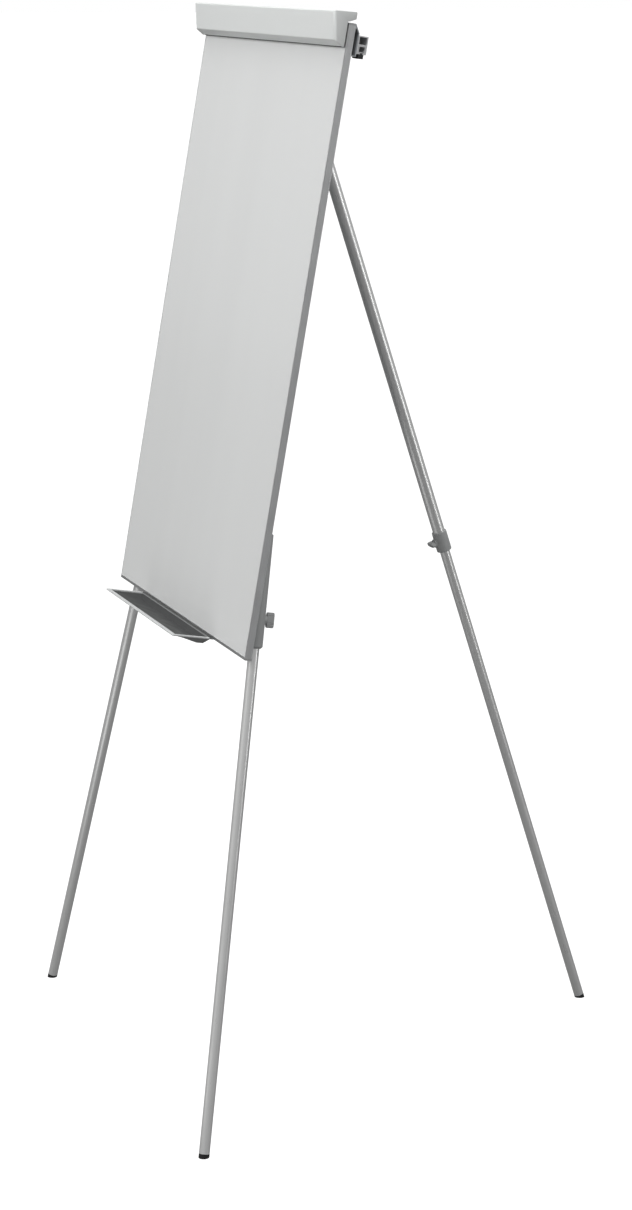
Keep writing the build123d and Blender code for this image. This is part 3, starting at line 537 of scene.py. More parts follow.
@dataclass(frozen=True)
class Rubber(Finish):
    """Matt rubber with pores and a dusty bloom."""

    pore_size: float = 0.0009
    pore_depth: float = 0.00006
    bloom: float = 0.7
    bloom_share: float = 9.0

    def material(self) -> bpy.types.Material:
        """Build the rubber.

        Returns:
            The material.
        """
        shade = Shade(self.name)
        pores = shade.cells(self.pore_size)
        dust = shade.noise(self.pore_size * self.bloom_share, 5.0)
        colour = shade.blend(dust, self.colour, lighter(self.colour, 1 + self.bloom))
        roughness = shade.spread(dust, self.roughness * 0.9, min(1.0, self.roughness * 1.15), 0.3, 0.7)
        normal = shade.relief(pores, self.pore_depth, 0.5)
        return shade.finish(colour, roughness, normal, Specular_IOR_Level=0.35)


@dataclass(frozen=True)
class FibreBoard(Finish):
    """Brown fibre board with flecks, as the board's hidden core has."""

    fibre_size: float = 0.002
    fibre_depth: float = 0.00008
    fibre_stretch: tuple[float, float, float] = (0.2, 1.0, 1.0)

    def material(self) -> bpy.types.Material:
        """Build the fibre board.

        Returns:
            The material.
        """
        shade = Shade(self.name)
        fibres = shade.noise(self.fibre_size, 6.0, shade.turned(Euler(), self.fibre_stretch))
        colour = shade.blend(fibres, lighter(self.colour, 0.75), lighter(self.colour, 1.2))
        roughness = shade.spread(fibres, self.roughness * 0.9, self.roughness)
        return shade.finish(colour, roughness, shade.relief(fibres, self.fibre_depth))


def link(name: str, mesh: bpy.types.Mesh) -> bpy.types.Object:
    """Put a mesh into the scene as an object at the origin.

    Args:
        name: the object's name.
        mesh: its mesh.

    Returns:
        The object.
    """
    item = bpy.data.objects.new(name, mesh)
    bpy.context.scene.collection.objects.link(item)
    return item


def evaluated(item: bpy.types.Object) -> bpy.types.Object:
    """Turn an object and its modifiers into one plain mesh.

    Args:
        item: an object with live modifiers.

    Returns:
        The same object, with the finished mesh and no modifiers.
    """
    depsgraph = bpy.context.evaluated_depsgraph_get()
    depsgraph.update()
    mesh = bpy.data.meshes.new_from_object(item.evaluated_get(depsgraph))
    item.modifiers.clear()
    item.data = mesh
    return item


def report(item: bpy.types.Object, body: str) -> None:
    """Log a finished piece and the body that it rides on."""
    log.info("%s: %d faces on %s", item.name, len(item.data.polygons), body)


def body_of(node: str) -> str:
    """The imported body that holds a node."""
    return next(body for body, nodes in frame["record"]["behaviour"]["bodies"].items() if node in nodes)


def stand_in(item: bpy.types.Object, *nodes: str) -> bpy.types.Object:
    """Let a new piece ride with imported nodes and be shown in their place.

    Args:
        item: the finished piece.
        nodes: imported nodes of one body.

    Returns:
        The piece.
    """
    body = body_of(nodes[0])
    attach(item, body)
    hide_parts(*nodes)
    report(item, body)
    return item


def shade_by_angle(mesh: bpy.types.Mesh, angle: float) -> None:
    """Shade a mesh smooth, apart from edges sharper than an angle.

    Args:
        mesh: the mesh.
        angle: the angle in radians.
    """
    for polygon in mesh.polygons:
        polygon.use_smooth = True
    mesh.set_sharp_from_angle(angle=angle)


def merged(node: str) -> bmesh.types.BMesh:
    """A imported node's triangles with the points that they share made one.

    Args:
        node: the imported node.

    Returns:
        The shape.
    """
    shape = bmesh.new()
    shape.from_mesh(frame["nodes"][node].data)
    bmesh.ops.remove_doubles(shape, verts=shape.verts, dist=MERGE_DISTANCE)
    return shape


def wall(shape: bmesh.types.BMesh, lower: Ring, upper: Ring) -> None:
    """Join two rings of as many points by a band of faces.

    Args:
        shape: the mesh being made.
        lower: one ring.
        upper: the other ring.
    """
    for i in range(len(lower)):
        following = (i + 1) % len(lower)
        shape.faces.new((lower[i], lower[following], upper[following], upper[i]))


def closed_mesh(shape: bmesh.types.BMesh, name: str) -> bpy.types.Mesh:
    """Turn a closed shape into a mesh whose faces point outwards.

    Args:
        shape: the shape, which is used up.
        name: the mesh's name.

    Returns:
        The mesh.
    """
    bmesh.ops.recalc_face_normals(shape, faces=shape.faces)
    mesh = bpy.data.meshes.new(name)
    shape.to_mesh(mesh)
    shape.free()
    return mesh


@dataclass(frozen=True)
class SoftEdges:
    """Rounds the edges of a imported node's shape, as a mould or a press leaves them."""

    radius: float
    segments: int = 3
    angle: float = radians(35.0)

    def piece(self, node: str, name: str) -> bpy.types.Object:
        """A copy of the node's shape with rounded edges.

        Args:
            node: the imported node.
            name: the new piece's name.

        Returns:
            The piece, riding in the node's place.
        """
        item = link(name, self.plain_copy(node))
        bevel = item.modifiers.new("edges", "BEVEL")
        bevel.width = self.radius
        bevel.segments = self.segments
        bevel.limit_method = "ANGLE"
        bevel.angle_limit = self.angle
        bevel.use_clamp_overlap = True
        bevel.miter_outer = "MITER_ARC"
        evaluated(item)
        shade_by_angle(item.data, self.angle)
        return stand_in(item, node)

    @staticmethod
    def plain_copy(node: str) -> bpy.types.Mesh:
        """The node's mesh with its loose triangles merged into whole faces.

        Args:
            node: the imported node.

        Returns:
            The copy.
        """
        shape = merged(node)
        bmesh.ops.dissolve_limit(shape, angle_limit=FLAT_ANGLE, verts=shape.verts, edges=shape.edges)
        return closed_mesh(shape, node)


def islands(node: str) -> list[list[Vector]]:
    """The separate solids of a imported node, each as its points.

    Args:
        node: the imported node.

    Returns:
        The solids, in order of their places.
    """
    shape = merged(node)
    found: list[list[Vector]] = []
    waiting = set(shape.verts)
    while waiting:
        start = waiting.pop()
        group = [start]
        edge = [start]
        while edge:
            vertex = edge.pop()
            for link_edge in vertex.link_edges:
                other = link_edge.other_vert(vertex)
                if other in waiting:
                    waiting.remove(other)
                    group.append(other)
                    edge.append(other)
        found.append([vertex.co.copy() for vertex in group])
    shape.free()
    found.sort(key=lambda points: tuple(round(value, 5) for value in points_centre(points)))
    return found


def points_centre(points: Sequence[Vector]) -> Vector:
    """The middle of the box around some points.

    Args:
        points: the points.

    Returns:
        The middle.
    """
    lows = [min(point[i] for point in points) for i in range(3)]
    highs = [max(point[i] for point in points) for i in range(3)]
    return (Vector(lows) + Vector(highs)) / 2


class GeometryTree:
    """Lays out one Geometry Nodes tree with named inputs."""

    def __init__(self, name: str, **inputs: str) -> None:
        """Start a tree.

        Args:
            name: the tree's name.
            inputs: each input's name, with underscores for blanks, and its socket type.
        """
        self.tree = bpy.data.node_groups.new(name, "GeometryNodeTree")
        self.tree.interface.new_socket("Geometry", in_out="INPUT", socket_type="NodeSocketGeometry")
        self.tree.interface.new_socket("Geometry", in_out="OUTPUT", socket_type="NodeSocketGeometry")
        self.keys: dict[str, str] = {}
        for key, kind in inputs.items():
            made = self.tree.interface.new_socket(key.replace("_", " "), in_out="INPUT", socket_type=kind)
            self.keys[key] = made.identifier
        self.start = self.tree.nodes.new("NodeGroupInput")

    def given(self, key: str) -> Socket:
        """The socket of a named input."""
        return self.start.outputs[key.replace("_", " ")]

    def add(self, kind: str, links: Links | None = None, **settings: object) -> bpy.types.Node:
        """Add a node, set its properties and fill its inputs.

        Args:
            kind: the node's type.
            links: an input's name, and a socket to join or a value to set.
            settings: the node's properties.

        Returns:
            The node.
        """
        node = self.tree.nodes.new(kind)
        for key, value in settings.items():
            setattr(node, key, value)
        for key, value in (links or {}).items():
            if isinstance(value, bpy.types.NodeSocket):
                self.tree.links.new(value, node.inputs[key])
            else:
                node.inputs[key].default_value = value
        return node

    def scaled(self, source: Socket, factor: float) -> Socket:
        """A value multiplied by a factor."""
        node = self.add("ShaderNodeMath", {0: source, 1: factor}, operation="MULTIPLY")
        return node.outputs[0]

    def vector(self, x: Socket | float, y: Socket | float, z: Socket | float) -> Socket:
        """A vector from three values."""
        return self.add("ShaderNodeCombineXYZ", {"X": x, "Y": y, "Z": z}).outputs[0]

    def placed(self, shape: Socket, **change: Socket | Sequence[float]) -> Socket:
        """A shape with a Translation, Rotation or Scale."""
        return self.add("GeometryNodeTransform", {"Geometry": shape, **change}).outputs[0]

    def primitive(self, kind: str, **sizes: Socket | float) -> Socket:
        """The mesh of a primitive such as Cube, with its sizes by name and underscores for blanks."""
        links: Links = {key.replace("_", " "): value for key, value in sizes.items()}
        return self.add(f"GeometryNodeMesh{kind}", links).outputs["Mesh"]

    def boolean(self, operation: str, first: Socket, *others: Socket) -> Socket:
        """Combine closed shapes by UNION, INTERSECT or DIFFERENCE.

        Args:
            operation: how they are combined.
            first: the first shape, from which others are cut.
            others: the other shapes.

        Returns:
            The combined shape.
        """
        node = self.add("GeometryNodeMeshBoolean", operation=operation)
        target = node.inputs[0] if operation == "DIFFERENCE" else node.inputs[1]
        self.tree.links.new(first, target)
        for other in others:
            self.tree.links.new(other, node.inputs[1])
        return node.outputs[0]

    def close(self, shape: Socket, material: bpy.types.Material) -> None:
        """End the tree in Realize Instances and Set Material.

        Args:
            shape: the finished shape.
            material: its material.
        """
        real = self.add("GeometryNodeRealizeInstances", {"Geometry": shape}).outputs[0]
        dressed = self.add("GeometryNodeSetMaterial", {"Geometry": real, "Material": material}).outputs[0]
        end = self.tree.nodes.new("NodeGroupOutput")
        self.tree.links.new(dressed, end.inputs[0])

    def run(self, item: bpy.types.Object, **values: float | Vector) -> bpy.types.Object:
        """Run the tree on an object and keep the result as a plain mesh.

        Args:
            item: the object whose mesh the tree starts from.
            values: a value for each named input.

        Returns:
            The object with its new mesh.
        """
        modifier = item.modifiers.new(self.tree.name, "NODES")
        modifier.node_group = self.tree
        for key, value in values.items():
            modifier[self.keys[key]] = value
        return evaluated(item)


@dataclass(frozen=True)
class FastenerSet:
    """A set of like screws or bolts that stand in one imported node."""

    node: str
    name: str
    facing: Vector
    head_radius: float
    head_height: float
    shank_radius: float
    finish: Finish
    drive: Drive = Drive.CROSS
    segments: int = 28
    recess_share: float = 0.55
    recess_width_share: float = 0.2
    overlap_share: float = 0.2
    corner_cone: tuple[float, float] = (0.72, 1.3)
    smooth_angle: float = radians(32.0)

    def build(self) -> bpy.types.Object:
        """Set a detailed screw in the place of each solid of the node.

        Returns:
            The piece that holds them all.
        """
        spots: list[Vector] = []
        length = 0.0
        for points in islands(self.node):
            heights = [point.dot(self.facing) for point in points]
            top = max(heights)
            centre = points_centre(points)
            spots.append(centre + self.facing * (top - self.head_height - centre.dot(self.facing)))
            length = top - self.head_height - min(heights)
        mesh = bpy.data.meshes.new(self.name)
        mesh.from_pydata(spots, [], [])
        tree = self.tree()
        item = tree.run(
            link(self.name, mesh),
            Head_radius=self.head_radius,
            Head_height=self.head_height,
            Shank_radius=self.shank_radius,
            Shank_length=length,
            Facing=self.facing,
        )
        shade_by_angle(item.data, self.smooth_angle)
        return stand_in(item, self.node)

    def tree(self) -> GeometryTree:
        """The tree that makes one screw and sets it on every point.

        Returns:
            The finished tree.
        """
        tree = GeometryTree(
            f"{self.name}_tree",
            Head_radius="NodeSocketFloat",
            Head_height="NodeSocketFloat",
            Shank_radius="NodeSocketFloat",
            Shank_length="NodeSocketFloat",
            Facing="NodeSocketVector",
        )
        head = self.domed_head(tree) if self.drive is Drive.CROSS else self.hex_head(tree)
        length = tree.given("Shank_length")
        shank = tree.primitive(
            "Cylinder", Vertices=self.segments, Radius=tree.given("Shank_radius"), Depth=length
        )
        overlap = self.head_height * self.overlap_share
        half = tree.scaled(length, -0.5)
        lowered = tree.add("ShaderNodeMath", {0: half, 1: overlap}, operation="ADD").outputs[0]
        shank = tree.placed(shank, Translation=tree.vector(0.0, 0.0, lowered))
        whole = tree.boolean("UNION", head, shank)
        facing = {"Vector": tree.given("Facing")}
        turn = tree.add("FunctionNodeAlignRotationToVector", facing, axis="Z").outputs[0]
        placed = tree.add(
            "GeometryNodeInstanceOnPoints",
            {"Points": tree.start.outputs["Geometry"], "Instance": whole, "Rotation": turn},
        ).outputs[0]
        tree.close(placed, self.finish.ready())
        return tree

    def domed_head(self, tree: GeometryTree) -> Socket:
        """A pan head with a cross recess.

        Args:
            tree: the tree being laid out.

        Returns:
            The head, its foot at the origin.
        """
        radius = tree.given("Head_radius")
        height = tree.given("Head_height")
        ball = tree.primitive("UVSphere", Segments=self.segments, Rings=self.segments // 2, Radius=1.0)
        ball = tree.placed(ball, Scale=tree.vector(radius, radius, height))
        broad = tree.scaled(radius, 4.0)
        upward = tree.vector(0.0, 0.0, height)
        block = tree.primitive("Cube", Size=tree.vector(broad, broad, tree.scaled(height, 2.0)))
        dome = tree.boolean("INTERSECT", ball, tree.placed(block, Translation=upward))
        long_side = tree.scaled(radius, self.recess_share * 2)
        short_side = tree.scaled(radius, self.recess_width_share * 2)
        cutters = []
        for sides in ((long_side, short_side), (short_side, long_side)):
            slot = tree.primitive("Cube", Size=tree.vector(*sides, height))
            cutters.append(tree.placed(slot, Translation=upward))
        return tree.boolean("DIFFERENCE", dome, *cutters)

    def hex_head(self, tree: GeometryTree) -> Socket:
        """A hexagon head with its corners turned off.

        Args:
            tree: the tree being laid out.

        Returns:
            The head, its foot at the origin.
        """
        radius = tree.given("Head_radius")
        height = tree.given("Head_height")
        prism = tree.primitive("Cylinder", Vertices=6, Radius=radius, Depth=height)
        prism = tree.placed(prism, Translation=tree.vector(0.0, 0.0, tree.scaled(height, 0.5)))
        top, bottom = self.corner_cone
        cone = tree.primitive(
            "Cone",
            Vertices=self.segments * 2,
            Radius_Top=tree.scaled(radius, top),
            Radius_Bottom=tree.scaled(radius, bottom),
            Depth=height,
        )
        return tree.boolean("INTERSECT", prism, cone)


@dataclass(frozen=True)
class Section:
    """One ring of a wing screw: its height above the leg's axis and its half length and half width."""

    height: float
    long: float
    wide: float
    ribbed: bool


@dataclass(frozen=True)
class WingScrew:
    """A moulded wing screw, lofted from the boss outwards."""

    letter: str
    node: str
    finish: Finish
    boss_reach: float
    span_direction: Vector
    height: float
    span: float = 0.026
    thickness: float = 0.0085
    hub_radius: float = 0.007
    hub_height: float = 0.001
    stem_radius: float = 0.003
    tip_reach: float = 0.0093
    rib_pitch: float = 0.0029
    rib_depth: float = 0.0008
    rib_start: float = 0.0044
    points: int = 144
    power: float = 3.6
    round_limit: float = 0.0009
    dish_share: float = 0.6
    smooth_angle: float = radians(38.0)
    edge: float = 0.0004
    tip_taper: float = 0.0006
    lower_edge: float = 0.0018
    upper_edge: float = 0.0016
    draft: float = 0.1
    rib_rows: tuple[float, ...] = (0.0, 0.25, 0.5, 0.75, 1.0)

    def build(self) -> bpy.types.Object:
        """Loft the screw and let it ride on its own body.

        Returns:
            The piece.
        """
        entry = joint(f"wing_{self.letter}_turn")
        axis = Vector(entry["axis"])
        base = self.base_point(Vector(entry["pos_m"]), axis)
        shape = bmesh.new()
        rings = [self.ring(shape, base, axis, section) for section in self.sections()]
        for lower, upper in zip(rings, rings[1:]):
            wall(shape, lower, upper)
        shape.faces.new(rings[0][::-1])
        self.cap(shape, rings[-1])
        item = link(f"wing_knob_{self.letter}", closed_mesh(shape, f"wing_knob_{self.letter}"))
        shade_by_angle(item.data, self.smooth_angle)
        self.finish.dress(item)
        return stand_in(item, self.node)

    def base_point(self, on_axis: Vector, axis: Vector) -> Vector:
        """The foot of the screw's axis on the leg's own axis.

        Args:
            on_axis: a point on the screw's axis.
            axis: the screw's axis, outwards.

        Returns:
            The foot.
        """
        top = reach(self.node, axis)[1]
        return on_axis + axis * (top - self.boss_reach - self.height - on_axis.dot(axis))

    def sections(self) -> list[Section]:
        """The rings of the screw from its tip out.

        Returns:
            The rings, in order.
        """
        foot = self.boss_reach
        body = foot + self.hub_height
        top = foot + self.height
        stem = self.stem_radius
        hub = self.hub_radius
        half = self.span / 2
        wide = self.thickness / 2
        round_part = [
            (self.tip_reach, stem * 0.8),
            (self.tip_reach + self.tip_taper, stem),
            (foot, stem),
            (foot + 0.00001, hub - self.edge),
            (foot + self.edge, hub),
            (foot + self.hub_height * 0.9, hub),
        ]
        rings = [Section(height, radius, radius, False) for height, radius in round_part]
        rings.append(Section(body, half * 0.9, wide * 0.92, False))
        rings.append(Section(body + self.edge, half * 0.96, wide * 0.98, False))
        rings.append(Section(body + 0.001, half * 0.99, wide, True))
        start = body + self.lower_edge
        end = top - self.upper_edge
        for share in self.rib_rows:
            rings.append(Section(start + (end - start) * share, half, wide * (1 - self.draft * share), True))
        rings.append(Section(top - 0.0009, half * 0.985, wide * 0.86, True))
        rings.append(Section(top - 0.0003, half * 0.94, wide * 0.76, False))
        rings.append(Section(top, half * 0.88, wide * 0.6, False))
        return rings

    def ring(self, shape: bmesh.types.BMesh, base: Vector, axis: Vector, section: Section) -> Ring:
        """One ring of points, round on the stem and hub and nearly square on the wing.

        Args:
            shape: the mesh being made.
            base: the foot of the screw's axis.
            axis: the screw's axis, outwards.
            section: the ring's height and size.

        Returns:
            The ring's new points.
        """
        side = axis.cross(self.span_direction)
        power = 2.0 if abs(section.long - section.wide) < self.round_limit else self.power
        ring = []
        for i in range(self.points):
            angle = tau * i / self.points
            x = copysign(abs(cos(angle)) ** (2 / power), cos(angle)) * section.long
            y = copysign(abs(sin(angle)) ** (2 / power), sin(angle)) * section.wide
            if section.ribbed and abs(x) > self.rib_start:
                y -= copysign((0.5 - 0.5 * cos(tau * x / self.rib_pitch)) * self.rib_depth, y)
            ring.append(shape.verts.new(base + axis * section.height + self.span_direction * x + side * y))
        return ring

    def cap(self, shape: bmesh.types.BMesh, ring: Ring) -> None:
        """Close the top with a shallow dish.

        Args:
            shape: the mesh being made.
            ring: the last ring.
        """
        middle = sum((vertex.co for vertex in ring), Vector()) / len(ring)
        inner = [shape.verts.new(middle + (vertex.co - middle) * self.dish_share) for vertex in ring]
        wall(shape, ring, inner)
        shape.faces.new(inner)


@dataclass(frozen=True)
class EdgeTrim:
    """The grooved U section along one upright edge of the board."""

    axes: BoardAxes
    finish: Finish
    wall: float = 0.001
    front_lip: float = 0.0016
    back_lip: float = 0.008
    proud: float = 0.0005
    corner: float = 0.0004
    corner_steps: int = 4
    groove_depth: float = 0.00045
    groove_half: float = 0.0004
    groove_places: tuple[float, ...] = (0.0022, 0.0098)

    def build(self, side: Side) -> None:
        """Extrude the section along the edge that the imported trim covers.

        Args:
            side: the edge.
        """
        node = f"edge_trim_{side.value}"
        sign = -1.0 if side is Side.LEFT else 1.0
        outer = reach(node, self.axes.across * sign)[1]
        back = self.axes.face - reach(node, self.axes.out)[0]
        bottom, top = reach(node, self.axes.up)
        shape = bmesh.new()
        rings = []
        for height in (bottom, top):
            base = self.axes.up * height + self.axes.out * self.axes.face
            base += self.axes.across * (sign * outer)
            ring = []
            for inward, depth in self.section(back):
                place = base - self.axes.across * (sign * inward) - self.axes.out * depth
                ring.append(shape.verts.new(place))
            rings.append(ring)
            shape.faces.new(ring)
        wall(shape, *rings)
        item = link(f"edge_profile_{side.value}", closed_mesh(shape, node))
        self.finish.dress(item)
        stand_in(item, node)

    def section(self, back: float) -> list[tuple[float, float]]:
        """The outline, as distances in from the outer face and back from the writing face.

        Args:
            back: how deep the trim is.

        Returns:
            The outline's points in order.
        """
        front = -self.proud
        points = self.rounded((0.0, front), -1.0)
        for place in self.groove_places:
            points.append((0.0, place - self.groove_half))
            points.append((self.groove_depth, place))
            points.append((0.0, place + self.groove_half))
        points += self.rounded((0.0, back), 1.0)
        points += [
            (self.back_lip, back),
            (self.back_lip, back - self.wall),
            (self.wall, back - self.wall),
            (self.wall, 0.0),
            (self.front_lip, 0.0),
            (self.front_lip, front),
        ]
        return points

    def rounded(self, corner: tuple[float, float], way: float) -> list[tuple[float, float]]:
        """The arc at an outer corner, run from front to back.

        Args:
            corner: the sharp corner's place.
            way: -1 at the front and 1 at the back.

        Returns:
            The arc's points.
        """
        centre = (corner[0] + self.corner, corner[1] - way * self.corner)
        arc = []
        for i in range(self.corner_steps + 1):
            angle = pi / 2 * i / self.corner_steps
            inward, depth = (sin(angle), cos(angle)) if way < 0 else (cos(angle), sin(angle))
            arc.append((centre[0] - self.corner * inward, centre[1] + way * self.corner * depth))
        return arc


@dataclass
class WhiteBoard:
    """The panel: enamelled sheet, core, backing sheet and the trims around them."""

    axes: BoardAxes
    face: Finish
    core: Finish
    backing: Finish
    side_trim: Finish
    end_trim: Finish

    def build(self) -> None:
        """Dress the panel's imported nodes."""
        nodes = frame["nodes"]
        self.face.dress(nodes["writing_sheet"])
        self.core.dress(nodes["board_core"])
        self.backing.dress(nodes["backing_sheet"])
        self.end_trim.dress(nodes["edge_trim_top"], nodes["edge_trim_bottom"])
        for name in ("writing_sheet", "board_core", "backing_sheet", "edge_trim_top", "edge_trim_bottom"):
            report(nodes[name], body_of(name))
        for side in Side:
            EdgeTrim(self.axes, self.side_trim).build(side)


@dataclass
class ClampBar:
    """The pad clamp: moulded bar, end caps, ribbed grip strip, hinges and pad pegs."""

    axes: BoardAxes
    plastic: Finish
    rubber: Finish
    steel: Finish
    aluminium: Finish
    peg_plastic: Finish
    cap_edge: float = 0.0008
    rib_count: int = 5
    rib_radius: float = 0.0005
    rib_sides: int = 12

    def build(self) -> None:
        """Build and dress the clamp."""
        nodes = frame["nodes"]
        self.plastic.dress(nodes["clamp_bar"])
        report(nodes["clamp_bar"], body_of("clamp_bar"))
        for side in Side:
            cap = SoftEdges(self.cap_edge).piece(f"clamp_cap_{side.value}", f"clamp_end_{side.value}")
            self.plastic.dress(cap)
            self.peg_plastic.dress(nodes[f"peg_{side.value}"])
            lug = SoftEdges(self.cap_edge / 2).piece(f"hinge_lug_{side.value}", f"hinge_ear_{side.value}")
            self.steel.dress(lug)
        self.steel.dress(nodes["clamp_hinge_pins"])
        self.aluminium.dress(nodes["peg_rail"])
        self.ribbed_strip()
        up, out = self.axes.up, self.axes.out
        FastenerSet("hinge_screws", "hinge_lug_screws", up, 0.0024, 0.001, 0.0015, self.steel).build()
        FastenerSet("peg_rail_screws", "peg_rail_heads", out, 0.0027, 0.0006, 0.0015, self.steel).build()

    def ribbed_strip(self) -> None:
        """The rubber strip that grips the paper, with ribs along it."""
        low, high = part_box("clamp_grip_strip")
        bottom, top = reach("clamp_grip_strip", self.axes.up)
        inner = reach("clamp_grip_strip", self.axes.out)[0]
        strip = link("grip_strip_ribbed", SoftEdges.plain_copy("clamp_grip_strip"))
        step = (top - bottom) / self.rib_count
        start = self.axes.up * (bottom + step / 2) + self.axes.out * (inner + self.rib_radius)
        tree = GeometryTree(
            "grip_ribs",
            Count="NodeSocketInt",
            Start="NodeSocketVector",
            Step="NodeSocketVector",
            Radius="NodeSocketFloat",
            Length="NodeSocketFloat",
        )
        line = tree.primitive(
            "Line", Count=tree.given("Count"), Start_Location=tree.given("Start"), Offset=tree.given("Step")
        )
        rod = tree.primitive(
            "Cylinder", Vertices=self.rib_sides, Radius=tree.given("Radius"), Depth=tree.given("Length")
        )
        rod = tree.placed(rod, Rotation=(0.0, pi / 2, 0.0))
        ribs = tree.add("GeometryNodeInstanceOnPoints", {"Points": line, "Instance": rod}).outputs[0]
        joined = tree.add("GeometryNodeJoinGeometry")
        tree.tree.links.new(tree.start.outputs["Geometry"], joined.inputs[0])
        tree.tree.links.new(ribs, joined.inputs[0])
        tree.close(joined.outputs[0], self.rubber.ready())
        tree.run(
            strip,
            Count=self.rib_count,
            Start=start,
            Step=self.axes.up * step,
            Radius=self.rib_radius,
            Length=high.x - low.x,
        )
        shade_by_angle(strip.data, radians(40.0))
        stand_in(strip, "clamp_grip_strip")


@dataclass
class DisplayRail:
    """The folded carrier behind the board's top edge, its rail and the two sliding arms."""

    axes: BoardAxes
    carrier: Finish
    aluminium: Finish
    steel: Finish
    clip_plastic: Finish

    def build(self) -> None:
        """Build and dress the rail."""
        nodes = frame["nodes"]
        self.carrier.dress(nodes["rail_carrier"])
        self.aluminium.dress(nodes["display_rail"])
        self.steel.dress(nodes["rail_spacers"])
        for side in Side:
            self.aluminium.dress(nodes[f"display_arm_{side.value}"])
            self.clip_plastic.dress(nodes[f"arm_clip_{side.value}"])
        for name in ("rail_carrier", "display_rail", "display_arm_left", "display_arm_right"):
            report(nodes[name], body_of(name))
        back = -self.axes.out
        FastenerSet("rail_screws", "rail_screw_heads", back, 0.0036, 0.0022, 0.002, self.steel).build()


@dataclass
class Head:
    """Sockets, beam and the rear leg's hinge."""

    axes: BoardAxes
    plastic: Finish
    steel: Finish
    dark_plastic: Finish
    mould_edge: float = 0.0012
    plate_edge: float = 0.0005

    def build(self) -> None:
        """Build and dress the head."""
        nodes = frame["nodes"]
        for side in Side:
            node, name = f"leg_socket_{side.value}", f"leg_socket_block_{side.value}"
            self.plastic.dress(SoftEdges(self.mould_edge).piece(node, name))
        for node, name in (("head_beam", "head_beam_bar"), ("pivot_bracket", "pivot_bracket_plate")):
            self.steel.dress(SoftEdges(self.plate_edge, 2).piece(node, name))
        cap = SoftEdges(self.plate_edge).piece("rear_leg_cap", "rear_leg_knuckle")
        self.plastic.dress(cap)
        self.steel.dress(nodes["pivot_pin"], nodes["pivot_clip"])
        self.dark_plastic.dress(nodes["pivot_washers"])
        back = -self.axes.out
        bolts = FastenerSet("beam_screws", "beam_bolts", back, 0.0045, 0.003, 0.0025, self.steel, Drive.HEX)
        bolts.build()
        self.steel.dress(nodes["bracket_screws"])
        FastenerSet("board_screws", "board_screw_heads", back, 0.0036, 0.0022, 0.002, self.steel).build()


@dataclass
class Leg:
    """One telescoping leg with its sleeve or collar, insert, wing screw and foot."""

    place: str
    tube_finish: Finish
    plastic: Finish
    bush_plastic: Finish
    rubber: Finish
    wing: WingScrew
    sleeve_edge: float = 0.0008

    def build(self) -> None:
        """Build and dress the leg."""
        nodes = frame["nodes"]
        rear = self.place == "rear"
        upper = "rear_leg_tube" if rear else f"front_leg_tube_{self.place}"
        holder = "rear_leg_collar" if rear else f"leg_sleeve_{self.place}"
        self.tube_finish.dress(nodes[upper], nodes[f"lower_leg_{self.place}"])
        self.bush_plastic.dress(nodes[f"lower_bush_{self.place}"])
        self.rubber.dress(nodes[f"foot_{self.place}"])
        for name in (upper, f"lower_leg_{self.place}", f"foot_{self.place}"):
            report(nodes[name], body_of(name))
        self.plastic.dress(SoftEdges(self.sleeve_edge, 2).piece(holder, f"{holder}_moulding"))
        self.wing.build()


@dataclass
class Tray:
    """The pen tray under the board and its screws."""

    axes: BoardAxes
    plastic: Finish
    steel: Finish
    edge: float = 0.0009
    upward: float = 0.02

    def build(self) -> None:
        """Build and dress the tray."""
        tray = SoftEdges(self.edge).piece("tray", "tray_moulding")
        # mark the faces that turn upwards; they take the dark dish colour, partly painted shade
        mark = tray.data.attributes.new(TrayPlastic.dish_mark, "FLOAT", "FACE")
        for polygon in tray.data.polygons:
            mark.data[polygon.index].value = float(polygon.normal.dot(self.axes.up) > self.upward)
        self.plastic.dress(tray)
        down = -self.axes.up
        FastenerSet("tray_screws", "tray_screw_heads", down, 0.003, 0.0018, 0.0015, self.steel).build()


